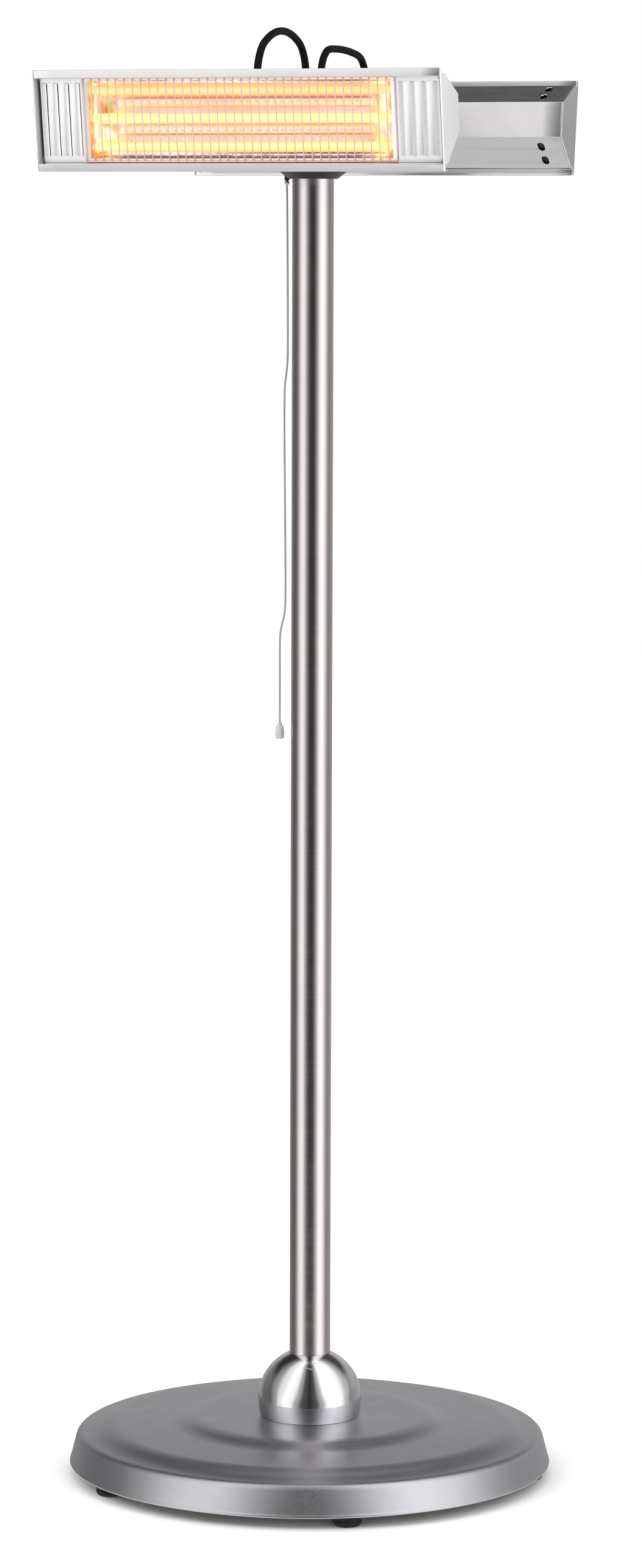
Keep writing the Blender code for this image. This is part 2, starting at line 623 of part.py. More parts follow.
def head_front(end, frame):
    """Louvred panel with its window, and the wire guard over the window."""
    half_x = HEAD_W / 2 - CAP_T - PANEL_END_GAP
    half_z = BODY_HALF - HEAD_WALL - GAP
    back = PANEL_Y + PANEL_T
    panel = place(f"{end}_louvre_panel", block("panel", (-half_x, PANEL_Y, -half_z), (half_x, back, half_z)),
                  "stainless_steel", frame)
    through = (PANEL_Y - OVERCUT, back + OVERCUT)
    middles = [(0, *WINDOW_HALF)]
    for side in (-1, 1):
        for i in range(SLOT_COUNT):
            x = side * (WINDOW_HALF[0] + SLOT_START + i * SLOT_PITCH)
            middles.append((x, SLOT_W / 2, SLOT_HALF))
    openings = [((x - wide, through[0], -tall), (x + wide, through[1], tall)) for x, wide, tall in middles]
    cut(panel, blocks("panel_openings", openings))

    guard_back = PANEL_Y - GAP
    guard_front = guard_back - GUARD_T
    guard_x, guard_z = WINDOW_HALF[0] + GUARD_OVER, half_z - GUARD_INSET
    guard = place(f"{end}_wire_guard", block("guard", (-guard_x, guard_front, -guard_z),
                                             (guard_x, guard_back, guard_z)), "stainless_steel", frame)
    inside_x, inside_z = guard_x - GUARD_BORDER, guard_z - GUARD_BORDER
    count = round(2 * inside_x / GUARD_PITCH)
    pitch = 2 * inside_x / count
    meshes = []
    for i in range(count):
        low = -inside_x + i * pitch + GUARD_BAR / 2 * (i > 0)
        high = -inside_x + (i + 1) * pitch - GUARD_BAR / 2 * (i < count - 1)
        meshes.append(((low, guard_front - OVERCUT, -inside_z), (high, guard_back + OVERCUT, inside_z)))
    cut(guard, blocks("guard_openings", meshes))


def head_burner(end, frame):
    """Reflector tray, three quartz tubes with their coils, ceramic holders."""
    y_front = PANEL_Y + PANEL_T + GAP
    front_half = (WINDOW_HALF[0] + REFLECTOR_LAP, BODY_HALF - HEAD_WALL - REFLECTOR_INSET)
    back_half = (front_half[0] - REFLECTOR_SIDE_IN, front_half[1] - REFLECTOR_EDGE_IN)
    reflector = place(f"{end}_reflector", tray("reflector", y_front, y_front + REFLECTOR_DEPTH, front_half,
                                               back_half, REFLECTOR_T), "reflector_aluminium", frame)
    depths = (y_front - FACE_Y, y_front - FACE_Y + HOLDER_DEPTH)
    halves = [inner_half(depth) - HOLDER_FIT for depth in depths]
    section = [(FACE_Y + depths[0], halves[0]), (FACE_Y + depths[1], halves[1]),
               (FACE_Y + depths[1], -halves[1]), (FACE_Y + depths[0], -halves[0])]
    holders = []
    for side, low in (("left", -HOLDER_X - HOLDER_T), ("right", HOLDER_X)):
        holders.append(place(f"{end}_{side}_holder", prism("holder", section, low, low + HOLDER_T),
                             "ceramic", frame))
    for i in range(3):
        at = (0, TUBE_Y, (1 - i) * TUBE_PITCH)
        tube = pipe("tube", TUBE_R, TUBE_R - TUBE_WALL, -TUBE_HALF, TUBE_HALF, 14, "X")
        place(f"{end}_quartz_tube_{i + 1}", moved(tube, at), "quartz_glass", frame)
        coil = rod("coil", COIL_R, -COIL_HALF, COIL_HALF, 8, "X")
        place(f"{end}_heating_coil_{i + 1}", moved(coil, at), "heating_wire", frame)
        for piece in (reflector, *holders):
            reach = TUBE_HALF + OVERCUT
            hole = rod("tube_hole", TUBE_R + SLIP, -reach, reach, 14, "X")
            cut(piece, moved(hole, at))


def head_mounting(end, frame):
    """Yoke on the back plate, terminal box between its ears, cable gland."""
    plate_y = -HEAD_BACK + GAP
    yoke = place(f"{end}_yoke", block("yoke", (-EAR_OUT_X, plate_y, -YOKE_PLATE_HALF_Z),
                                      (EAR_OUT_X, plate_y + YOKE_T, YOKE_PLATE_HALF_Z)),
                 "powder_steel", frame)
    arc = [radians(90 - 18 * i) for i in range(11)]
    ear = [(plate_y + YOKE_T / 2, -YOKE_EAR_R), (plate_y + YOKE_T / 2, YOKE_EAR_R)]
    ear += [(YOKE_EAR_R * cos(a), YOKE_EAR_R * sin(a)) for a in arc]
    for low in (-EAR_OUT_X, EAR_X):
        join(yoke, prism("ear", ear, low, low + YOKE_T))
    cut(yoke, rod("ear_bores", BOLT_R + PIN_FIT, -2 * EAR_OUT_X, 2 * EAR_OUT_X, 16, "X"))

    box_y = plate_y + YOKE_T + GAP
    box = place(f"{end}_terminal_box", block("box", (-BOX_HALF_X, box_y, -BOX_HALF_Z),
                                             (BOX_HALF_X, box_y + BOX_DEPTH, BOX_HALF_Z), BOX_ROUND),
                "black_plastic", frame)
    inside = [((-BOX_HALF_X + BOX_WALL, box_y - OVERCUT, -BOX_HALF_Z + BOX_WALL),
               (BOX_HALF_X - BOX_WALL, box_y + BOX_DEPTH - BOX_WALL, BOX_HALF_Z - BOX_WALL))]
    cut(box, blocks("box_inside", inside))
    gland = place(f"{end}_cable_gland", gland_mesh(), "black_plastic", frame)
    gland.location = (0, box_y + BOX_DEPTH / 2, BOX_HALF_Z + GAP)


def head(end, side):
    """One whole head on its tilt axis. side is -1 for the front, 1 for the rear."""
    turn = 0 if side < 0 else pi
    frame = empty(f"{end}_tilt", (0, side * HINGE_Y, HINGE_Z), (HEAD_TILT, 0, turn))
    head_casing(end, frame)
    head_front(end, frame)
    head_burner(end, frame)
    head_mounting(end, frame)


def head_cables():
    """A loop of cable from the junction's lid to each head."""
    frame = empty("cable_frame", (0, 0, HINGE_Z))
    for end, route in (("front", FRONT_CABLE), ("rear", REAR_CABLE)):
        points = [(0, y, z) for y, z in route]
        cable(f"{end}_cable", points, CABLE_R, "cable_rubber", frame)


def main():
    """Clear the scene and build the heater."""
    for old in list(bpy.data.objects):
        bpy.data.objects.remove(old, do_unlink=True)
    base_cover()
    ballast_and_feet()
    pole_and_ball()
    cross_arm()
    junction()
    pull_switch()
    for end, side in (("front", -1), ("rear", 1)):
        hinge_hardware(end, side)
        head(end, side)
    head_cables()


main()
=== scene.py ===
import json
import logging
from dataclasses import dataclass, field
from enum import Enum
from functools import lru_cache
from math import acos, asin, atan2, cos, pi, radians, sin, sqrt
from typing import Callable, Sequence

import bmesh
import bpy
from mathutils import Matrix, Vector


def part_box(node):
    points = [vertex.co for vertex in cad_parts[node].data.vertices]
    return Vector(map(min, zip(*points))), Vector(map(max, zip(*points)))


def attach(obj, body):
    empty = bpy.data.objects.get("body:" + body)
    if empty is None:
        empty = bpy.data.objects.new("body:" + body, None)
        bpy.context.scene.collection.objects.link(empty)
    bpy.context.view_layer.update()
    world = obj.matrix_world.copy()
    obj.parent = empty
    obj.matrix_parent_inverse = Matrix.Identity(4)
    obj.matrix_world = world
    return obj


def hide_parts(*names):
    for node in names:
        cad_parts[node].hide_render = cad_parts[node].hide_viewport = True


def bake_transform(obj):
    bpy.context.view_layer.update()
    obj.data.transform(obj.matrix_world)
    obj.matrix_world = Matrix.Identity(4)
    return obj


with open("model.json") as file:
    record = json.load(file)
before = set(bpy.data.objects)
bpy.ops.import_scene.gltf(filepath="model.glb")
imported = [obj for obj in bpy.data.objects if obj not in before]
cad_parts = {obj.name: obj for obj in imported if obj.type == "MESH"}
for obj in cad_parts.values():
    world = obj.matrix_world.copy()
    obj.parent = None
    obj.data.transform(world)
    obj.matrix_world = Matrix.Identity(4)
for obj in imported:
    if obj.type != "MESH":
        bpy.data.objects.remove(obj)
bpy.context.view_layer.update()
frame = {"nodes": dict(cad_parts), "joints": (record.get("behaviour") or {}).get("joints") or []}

LOG = logging.getLogger("heater")
GAP = 0.0003            # left between two pieces that touch, in metres
SCREW_GAP = 0.00002     # left under a screw's head
SMOOTH_ANGLE = 35       # degrees, under which two faces shade as one surface
BEVEL_ANGLE = 30        # degrees, over which an edge of a softened piece is rounded

Point = Sequence[float]
Colour = tuple[float, float, float]


class Body(str, Enum):
    """The bodies that move apart, by their names in the frame."""

    STAND = "stand"
    FRONT_HEAD = "front_head"
    REAR_HEAD = "rear_head"
    FRONT_CLAMP = "front_clamp"
    REAR_CLAMP = "rear_clamp"
    PULL = "pull"


class Slot(str, Enum):
    """The record's material slots."""

    BRUSHED = "brushed_stainless"
    HEAD = "head_stainless"
    PANEL = "panel_stainless"
    POLISHED = "polished_steel"
    GUARD = "guard_wire"
    MIRROR = "mirror_aluminium"
    CONCRETE = "concrete"
    FOOT = "foot_rubber"
    CABLE = "cable_rubber"
    PLASTIC = "black_plastic"
    BLACK_STEEL = "black_steel"
    ZINC = "zinc_steel"
    CERAMIC = "ceramic"
    QUARTZ = "quartz"
    WIRE = "heating_wire"
    CORD = "cord_grey"
    TOGGLE = "toggle_grey"


class Axis(Enum):
    """The axis that a turned shape or a rod lies on, as the turn from Z."""

    X = Matrix.Rotation(pi / 2, 4, "Y")
    Y = Matrix.Rotation(-pi / 2, 4, "X")
    Z = Matrix.Identity(4)


class Grain(Enum):
    """How often a brushed surface's pattern repeats along X, Y and Z, per metre."""

    ALONG_X = (6.0, 900.0, 900.0)
    AROUND_Z = (14.0, 14.0, 1500.0)
    SPUN = (160.0, 160.0, 160.0)


# ---------------------------------------------------------------- finishes


def toned(colour: Colour, share: float) -> Colour:
    """A colour made darker or lighter by a factor, up to white."""
    return tuple(min(1.0, c * share) for c in colour)


class Nodes:
    """A tree of shader nodes, with short calls that add and join them."""

    def __init__(self, tree: bpy.types.NodeTree) -> None:
        """Takes the tree.

        Args:
            tree: the material's or the world's nodes.
        """
        self.tree = tree

    def add(self, kind: str, **settings: object) -> bpy.types.Node:
        """Adds a node.

        Args:
            kind: the node's type, without its ShaderNode prefix.
            settings: its properties, by name.

        Returns:
            The node.
        """
        node = self.tree.nodes.new("ShaderNode" + kind)
        for key, value in settings.items():
            setattr(node, key, value)
        return node

    def feed(self, socket: bpy.types.NodeSocket, value: object) -> None:
        """Sets an input, or joins it to another node.

        Args:
            socket: the input.
            value: a constant, or an output socket.
        """
        if isinstance(value, bpy.types.NodeSocket):
            self.tree.links.new(value, socket)
        else:
            socket.default_value = value

    def put(self, node: bpy.types.Node, **values: object) -> None:
        """Sets a node's inputs, or joins them to the sockets given.

        Args:
            node: the node.
            values: constants or output sockets, by input name, with _ for a space.
        """
        for key, value in values.items():
            self.feed(node.inputs[key.replace("_", " ")], value)

    def spread(self, source: bpy.types.NodeSocket, low: float, high: float, from_low: float = 0.3,
               from_high: float = 0.7, curve: str = "LINEAR") -> bpy.types.NodeSocket:
        """Maps a pattern onto a range of values.

        Args:
            source: the pattern.
            low: value at its lower end.
            high: value at its upper end.
            from_low: the pattern's lower end.
            from_high: the pattern's upper end.
            curve: the Map Range node's interpolation.

        Returns:
            The value socket.
        """
        node = self.add("MapRange", interpolation_type=curve)
        self.put(node, Value=source, From_Min=from_low, From_Max=from_high, To_Min=low, To_Max=high)
        return node.outputs["Result"]

    def ramp(self, source: bpy.types.NodeSocket, stops: Sequence[tuple[float, Colour]],
             curve: str = "LINEAR") -> bpy.types.NodeSocket:
        """Turns a pattern into colours.

        Args:
            source: the pattern.
            stops: positions from 0 to 1, each with its colour.
            curve: the ramp's interpolation.

        Returns:
            The colour socket.
        """
        node = self.add("ValToRGB")
        node.color_ramp.interpolation = curve
        band = node.color_ramp.elements
        while len(band) < len(stops):
            band.new(0.5)
        for element, (position, colour) in zip(band, stops):
            element.position = position
            element.color = (*colour, 1)
        self.put(node, Fac=source)
        return node.outputs["Color"]

    def mix(self, a: object, b: object, share: object, mode: str = "MIX") -> bpy.types.NodeSocket:
        """Mixes two colours.

        Args:
            a: first colour, or its socket.
            b: second colour, or its socket.
            share: how much of the second, or its socket.
            mode: blend type.

        Returns:
            The colour socket.
        """
        node = self.add("Mix", data_type="RGBA", blend_type=mode)
        self.feed(node.inputs[0], share)
        for index, colour in ((6, a), (7, b)):
            self.feed(node.inputs[index], (*colour, 1) if isinstance(colour, tuple) else colour)
        return node.outputs[2]

    def math(self, operation: str, a: object, b: object = 0.0) -> bpy.types.NodeSocket:
        """One step of arithmetic on values.

        Args:
            operation: the Math node's operation.
            a: first value or socket.
            b: second value or socket.

        Returns:
            The value socket.
        """
        node = self.add("Math", operation=operation)
        self.feed(node.inputs[0], a)
        self.feed(node.inputs[1], b)
        return node.outputs[0]


class Bench(Nodes):
    """One material's nodes."""

    def __init__(self, name: str) -> None:
        """Makes the material.

        Args:
            name: the material's name.
        """
        material = bpy.data.materials.new(name)
        material.use_nodes = True
        super().__init__(material.node_tree)
        self.shader = self.tree.nodes["Principled BSDF"]

    def shade(self, **values: object) -> None:
        """Sets or joins the shader's own inputs, by name."""
        self.put(self.shader, **values)

    def place_of(self, scale: Point | float = 1, turn: Point = (0, 0, 0),
                 uv: bool = False) -> bpy.types.NodeSocket:
        """The point on the piece, scaled and turned for a pattern.

        Args:
            scale: times per metre, along each axis or along all three.
            turn: angles about each axis, in radians.
            uv: True to follow the piece's own UV map.

        Returns:
            The vector socket.
        """
        mapping = self.add("Mapping")
        self.put(mapping, Vector=self.add("TexCoord").outputs["UV" if uv else "Object"], Rotation=turn,
                 Scale=(scale,) * 3 if isinstance(scale, (int, float)) else scale)
        return mapping.outputs["Vector"]

    def noise(self, scale: Point | float, detail: float = 3.0, roughness: float = 0.55,
              seed: float = 0.0, turn: Point = (0, 0, 0)) -> bpy.types.NodeSocket:
        """Cloudy pattern in the piece's own space.

        Args:
            scale: times per metre, along each axis or along all three.
            detail: octaves.
            roughness: strength of the finer octaves.
            seed: shifts the pattern.
            turn: angles about each axis, in radians.

        Returns:
            The factor socket.
        """
        node = self.add("TexNoise", noise_dimensions="4D")
        self.put(node, Vector=self.place_of(scale, turn), W=seed, Scale=1.0,
                 Detail=detail, Roughness=roughness)
        return node.outputs["Fac"]

    def bump(self, height: bpy.types.NodeSocket, strength: float, distance: float) -> None:
        """Raises the surface by a pattern.

        Args:
            height: the pattern.
            strength: from 0 to 1.
            distance: height in metres.
        """
        node = self.add("Bump")
        before = self.shader.inputs["Normal"].links
        if before:
            self.put(node, Normal=before[0].from_socket)
        self.put(node, Height=height, Strength=strength, Distance=distance)
        self.shade(Normal=node.outputs["Normal"])


@dataclass(frozen=True)
class Finish:
    """A surface finish. Each kind says how its nodes are laid."""

    name: str

    def lay(self, bench: Bench) -> None:
        """Lays the finish's nodes.

        Args:
            bench: the new material.
        """
        raise NotImplementedError

    def material(self) -> bpy.types.Material:
        """The material, made on first use."""
        if self.name not in bpy.data.materials:
            self.lay(Bench(self.name))
        return bpy.data.materials[self.name]


@dataclass(frozen=True)
class BrushedSteel(Finish):
    """Stainless sheet or tube with a brushed grain and faint handling marks."""

    colour: Colour = (0.66, 0.65, 0.66)
    roughness: float = 0.22
    grain: Grain = Grain.ALONG_X
    depth: float = 0.000010
    streaks: float = 0.06
    anisotropy: float = 0.4
    metal: float = 1.0          # less than 1 makes the surface partly diffuse, so it takes up the pale daylight; the front head's caps use this as painted light

    def lay(self, bench: Bench) -> None:
        """Lays brushing, cloudy tone and fingermark-like patches.

        Args:
            bench: the new material.
        """
        brush = bench.noise(self.grain.value, detail=4, roughness=0.7)
        cloud = bench.noise(5, detail=2, seed=3)
        smear = bench.noise(38, detail=5, roughness=0.6, seed=8)
        dark = toned(self.colour, 1 - self.streaks)
        light = toned(self.colour, 1 + self.streaks)
        tone = bench.ramp(brush, [(0.3, dark), (0.7, light)])
        shade = bench.ramp(cloud, [(0.35, (0.95, 0.95, 0.96)), (0.65, (1, 1, 1))])
        bench.shade(Base_Color=bench.mix(tone, shade, 1.0, "MULTIPLY"), Metallic=self.metal,
                    Anisotropic=self.anisotropy)
        rough = bench.math("ADD", bench.spread(brush, -0.04, 0.04), bench.spread(smear, -0.02, 0.03))
        bench.shade(Roughness=bench.math("ADD", rough, self.roughness))
        bench.bump(brush, 0.5, self.depth)
        tangent = bench.add("Tangent", direction_type="RADIAL", axis="Z")
        bench.shade(Tangent=tangent.outputs[0])


@dataclass(frozen=True)
class PolishedSteel(Finish):
    """Mirror-polished steel with the faint ripple of a pressed part."""

    colour: Colour = (0.80, 0.80, 0.82)
    roughness: float = 0.07
    ripple: float = 0.00008

    def lay(self, bench: Bench) -> None:
        """Lays polish haze, ripple and hairline scratches.

        Args:
            bench: the new material.
        """
        haze = bench.noise(30, detail=4, seed=2)
        wave = bench.noise(22, detail=1, seed=5)
        hair = bench.noise((40, 2200, 300), detail=2, seed=7, turn=(0.3, 0.9, 0.4))
        tint = bench.ramp(haze, [(0.3, toned(self.colour, 0.95)), (0.7, self.colour)])
        bench.shade(Base_Color=tint, Metallic=1.0,
                    Roughness=bench.spread(haze, self.roughness * 0.7, self.roughness * 1.5))
        bench.bump(wave, 0.3, self.ripple)
        bench.bump(hair, 0.15, 0.000004)


@dataclass(frozen=True)
class MirrorAluminium(Finish):
    """Bright rolled aluminium with a small hammered dimple and heat tint; its pink colour and its emission
    are painted light of the glowing tubes.
    """

    colour: Colour = (0.98, 0.84, 0.79)
    dimple: float = 160.0
    # painted light: emission that stands in for the tubes' glow on the aluminium
    glow: float = 0.12
    hot_ends: tuple[float, float] = (0.148, 0.166)  # distance from the middle where the painted coil reflections set in

    def lay(self, bench: Bench) -> None:
        """Lays dimples, straw tint, dull patches and painted light: a pink glow for the tubes' light, with
        painted reflections of the coils flecked near the ends.

        Args:
            bench: the new material.
        """
        cells = bench.add("TexVoronoi", feature="SMOOTH_F1")
        bench.put(cells, Vector=bench.place_of(), Scale=self.dimple)
        heat = bench.noise((9, 14, 26), detail=2, seed=4)
        tint = bench.ramp(heat, [(0.35, self.colour), (0.55, (0.98, 0.76, 0.66)),
                                 (0.72, (0.88, 0.70, 0.68))])
        bench.shade(Base_Color=tint, Metallic=1.0, Roughness=bench.spread(heat, 0.14, 0.26))
        parts = bench.add("SeparateXYZ")
        bench.put(parts, Vector=bench.place_of())
        out = bench.spread(bench.math("ABSOLUTE", parts.outputs["X"]), 0.0, 1.0, *self.hot_ends)
        # painted reflections of the glowing coils, as orange and yellow flecks towards the ends
        flecks = bench.noise((70, 70, 48), detail=2, roughness=0.6, seed=11)
        painted_coil_reflection = bench.ramp(flecks, [(0.36, (0.85, 0.12, 0.02)), (0.46, (1.0, 0.36, 0.03)),
                                   (0.56, (1.0, 0.75, 0.16)), (0.66, (1.0, 0.92, 0.55))])
        bench.shade(Emission_Color=bench.mix((1.0, 0.66, 0.60), painted_coil_reflection, out),
                    Emission_Strength=bench.math("ADD", self.glow, bench.math("MULTIPLY", out, 0.50)))
        bench.bump(cells.outputs["Distance"], 0.35, 0.0006)


@dataclass(frozen=True)
class ZincPlate(Finish):
    """Zinc-plated steel: soft grey with a faint yellow and blue bloom."""

    colour: Colour = (0.60, 0.61, 0.62)
    roughness: float = 0.34

    def lay(self, bench: Bench) -> None:
        """Lays the crystal tone and the bloom.

        Args:
            bench: the new material.
        """
        crystal = bench.noise(420, detail=3, seed=1)
        bloom = bench.noise(60, detail=2, seed=6)
        grey = bench.ramp(crystal, [(0.3, toned(self.colour, 0.85)), (0.7, self.colour)])
        hue = bench.ramp(bloom, [(0.35, (1.0, 0.97, 0.90)), (0.65, (0.92, 0.96, 1.0))])
        bench.shade(Base_Color=bench.mix(grey, hue, 1.0, "MULTIPLY"), Metallic=1.0,
                    Roughness=bench.spread(crystal, self.roughness - 0.06, self.roughness + 0.08))
        bench.bump(crystal, 0.2, 0.00004)


@dataclass(frozen=True)
class Moulded(Finish):
    """Moulded plastic or rubber: fine texture, slight tone and gloss changes."""

    colour: Colour = (0.018, 0.016, 0.017)
    roughness: float = 0.42
    texture: float = 1400.0
    depth: float = 0.00006
    dust: float = 0.25
    gloss: float = 0.30

    def lay(self, bench: Bench) -> None:
        """Lays the spark texture, tone drift and settled dust.

        Args:
            bench: the new material.
        """
        spark = bench.noise(self.texture, detail=2, seed=3)
        drift = bench.noise(34, detail=3, seed=9)
        settled = bench.noise(150, detail=5, roughness=0.7, seed=12)
        pale = tuple(c * (1 + self.dust * 3) + self.dust * 0.012 for c in self.colour)
        base = bench.ramp(drift, [(0.3, toned(self.colour, 0.85)), (0.7, self.colour)])
        mask = bench.spread(settled, 0.0, self.dust, 0.5, 0.8)
        bench.shade(Base_Color=bench.mix(base, pale, mask),
                    Roughness=bench.spread(drift, self.roughness - 0.05, self.roughness + 0.1))
        bench.shade(Specular_IOR_Level=self.gloss)
        bench.bump(spark, 0.35, self.depth)


@dataclass(frozen=True)
class PowderCoat(Finish):
    """Black powder coat with an orange-peel skin."""

    colour: Colour = (0.020, 0.020, 0.021)

    def lay(self, bench: Bench) -> None:
        """Lays the orange peel and a few rubbed patches.

        Args:
            bench: the new material.
        """
        peel = bench.noise(520, detail=1.5, seed=2)
        rub = bench.noise(55, detail=5, roughness=0.65, seed=5)
        tone = bench.ramp(rub, [(0.4, self.colour), (0.75, toned(self.colour, 2.2))])
        bench.shade(Base_Color=tone, Roughness=bench.spread(rub, 0.38, 0.52))
        bench.bump(peel, 0.3, 0.00012)


@dataclass(frozen=True)
class CastConcrete(Finish):
    """Cast ballast: grey, speckled, with small pores."""

    colour: Colour = (0.34, 0.33, 0.31)

    def lay(self, bench: Bench) -> None:
        """Lays sand speckle, damp patches and pores.

        Args:
            bench: the new material.
        """
        sand = bench.noise(700, detail=4, seed=1)
        patch = bench.noise(14, detail=4, seed=4)
        pores = bench.add("TexVoronoi")
        bench.put(pores, Vector=bench.place_of(), Scale=150.0)
        pit = bench.spread(pores.outputs["Distance"], 0.0, 1.0, 0.02, 0.18)
        speckle = bench.ramp(sand, [(0.3, toned(self.colour, 0.7)), (0.7, toned(self.colour, 1.3))])
        tone = bench.ramp(patch, [(0.3, (0.8, 0.8, 0.8)), (0.7, (1, 1, 1))])
        bench.shade(Base_Color=bench.mix(speckle, tone, 1.0, "MULTIPLY"), Roughness=0.9)
        bench.bump(pit, 0.6, 0.0008)
        bench.bump(sand, 0.5, 0.0002)


@dataclass(frozen=True)
class GlazedCeramic(Finish):
    """Cream steatite, dry and slightly stained by heat."""

    colour: Colour = (0.82, 0.78, 0.70)

    def lay(self, bench: Bench) -> None:
        """Lays the stain and the pressed grain.

        Args:
            bench: the new material.
        """
        stain = bench.noise(70, detail=4, seed=2)
        grain = bench.noise(900, detail=2, seed=3)
        tone = bench.ramp(stain, [(0.35, self.colour), (0.75, (0.62, 0.50, 0.38))])
        bench.shade(Base_Color=tone, Roughness=bench.spread(grain, 0.5, 0.7))
        bench.bump(grain, 0.3, 0.00006)


@dataclass(frozen=True)
class GlowingQuartz(Finish):
    """Quartz tube lit by the coil inside it, with hotter patches along its length."""

    glow: Colour = (1.0, 0.45, 0.14)
    edge: Colour = (1.0, 0.26, 0.10)
    strength: float = 0.8
    clearness: float = 0.45

    def lay(self, bench: Bench) -> None:
        """Lays the glow, its rim and the tube's gloss.

        Args:
            bench: the new material.
        """
        cloud = bench.noise((30, 90, 90), detail=3, seed=6)
        facing = bench.add("LayerWeight")
        bench.put(facing, Blend=0.35)
        rim = bench.mix(self.glow, self.edge, facing.outputs["Facing"])
        hue = bench.mix(rim, (1.0, 0.80, 0.42), bench.spread(cloud, 0.0, 0.25))
        bench.shade(Base_Color=(0.9, 0.5, 0.3, 1), Roughness=0.08, Alpha=1 - self.clearness,
                    Emission_Color=hue, Emission_Strength=self.strength, Coat_Weight=0.6,
                    Coat_Roughness=0.04)


@dataclass(frozen=True)
class HotWire(Finish):
    """Glowing resistance wire, yellow where it is hottest."""

    hot: Colour = (1.0, 0.72, 0.26)
    cool: Colour = (1.0, 0.34, 0.08)
    strength: float = 1.6

    def lay(self, bench: Bench) -> None:
        """Lays hotter and cooler stretches along the wire.

        Args:
            bench: the new material.
        """
        stretch = bench.noise((16, 3, 3), detail=2, seed=2)
        flicker = bench.noise(400, detail=1, seed=5)
        hue = bench.ramp(stretch, [(0.3, self.cool), (0.6, self.hot)])
        tone = bench.mix(hue, (1.0, 0.55, 0.15), bench.spread(flicker, 0.0, 0.4))
        bench.shade(Base_Color=(0.3, 0.12, 0.06, 1), Roughness=0.5, Metallic=0.6,
                    Emission_Color=tone, Emission_Strength=self.strength)


@dataclass(frozen=True)
class BraidedCord(Finish):
    """Braided polyester cord, drawn on its own UV map."""

    colour: Colour = (0.50, 0.50, 0.51)
    strands: float = 8.0
    picks: float = 420.0

    def lay(self, bench: Bench) -> None:
        """Lays two crossing sets of strands, with painted shade darkening the grooves between them.

        Args:
            bench: the new material.
        """
        sets = []
        for lean in (1.0, -1.0):
            strand = bench.add("TexWave", wave_type="BANDS", bands_direction="X")
            tilt = bench.place_of((self.strands, self.picks, 1.0), (0, 0, lean * 0.78), uv=True)
            bench.put(strand, Vector=tilt, Scale=1.0, Distortion=0.6)
            sets.append(strand.outputs["Fac"])
        weave = bench.math("MAXIMUM", sets[0], sets[1])
        soil = bench.noise(24, detail=4, seed=3)
        # painted shade: the colour darkens to 0.45 where the weave is low, in the grooves between strands
        tone = bench.ramp(weave, [(0.2, toned(self.colour, 0.45)), (0.8, self.colour)])
        grime = bench.ramp(soil, [(0.35, (0.82, 0.80, 0.78)), (0.65, (1, 1, 1))])
        bench.shade(Base_Color=bench.mix(tone, grime, 1.0, "MULTIPLY"), Roughness=0.75,
                    Sheen_Weight=0.2)
        bench.bump(weave, 0.6, 0.0003)


@dataclass(frozen=True)
class StudioFloor(Finish):
    """Seamless pale studio floor."""

    colour: Colour = (0.95, 0.95, 0.95)

    def lay(self, bench: Bench) -> None:
        """Lays a faint change of tone.

        Args:
            bench: the new material.
        """
        drift = bench.noise(0.7, detail=2, seed=1)
        tone = bench.ramp(drift, [(0.3, toned(self.colour, 0.985)), (0.7, self.colour)])
        bench.shade(Base_Color=tone, Roughness=0.9, Specular_IOR_Level=0.1)


BASE_STEEL = BrushedSteel("base_steel", (0.60, 0.60, 0.63), 0.36, Grain.ALONG_X, 0.000006, 0.03, 0.0)
POLE_STEEL = BrushedSteel("pole_steel", (0.70, 0.67, 0.66), 0.15, Grain.AROUND_Z, streaks=0.04)
SHELL_STEEL = BrushedSteel("shell_steel", (0.80, 0.79, 0.80), 0.24, Grain.ALONG_X, anisotropy=0.0)
CAP_STEEL = BrushedSteel("cap_steel", (0.88, 0.87, 0.88), 0.30, Grain.SPUN, streaks=0.02, anisotropy=0.0)
# painted light: a lighter, more diffuse copy of CAP_STEEL for the front head's caps, whose end faces the
# light; the rear head's caps use CAP_STEEL itself
LIT_CAP_STEEL = BrushedSteel("lacquered_cap_steel", (0.84, 0.83, 0.84), 0.34, Grain.SPUN, streaks=0.02,
                             anisotropy=0.0, metal=0.3)
PANEL_STEEL = BrushedSteel("panel_steel", (0.94, 0.93, 0.93), 0.30, Grain.ALONG_X, streaks=0.03,
                           anisotropy=0.0, metal=0.75)
BALL_STEEL = PolishedSteel("ball_steel")
# the guard wire's pinkish colour is painted glow from the tubes behind it
GUARD_STEEL = BrushedSteel("guard_steel", (0.70, 0.56, 0.50), 0.25, Grain.AROUND_Z, streaks=0.03,
                           anisotropy=0.0, metal=0.35)
REFLECTOR = MirrorAluminium("reflector_aluminium")
ZINC = ZincPlate("zinc_plate")
BLACK_PLASTIC = Moulded("black_plastic_moulding", (0.020, 0.017, 0.019))
FOOT_RUBBER = Moulded("foot_rubber_moulding", (0.012, 0.012, 0.012), 0.62, 700.0, 0.00010, 0.5)
CABLE_RUBBER = Moulded("cable_rubber_sheath", (0.004, 0.003, 0.004), 0.55, 900.0, 0.00004, 0.1, 0.12)
TOGGLE_PLASTIC = Moulded("toggle_plastic", (0.52, 0.52, 0.53), 0.35, 1200.0, 0.00003, 0.0)
BLACK_STEEL = PowderCoat("black_powder_coat")
CONCRETE = CastConcrete("cast_ballast")
CERAMIC = GlazedCeramic("steatite")
PULL_BRAID = BraidedCord("pull_cord_braid")
WIRE = HotWire("heating_coil_wire")
FLOOR = StudioFloor("studio_floor")
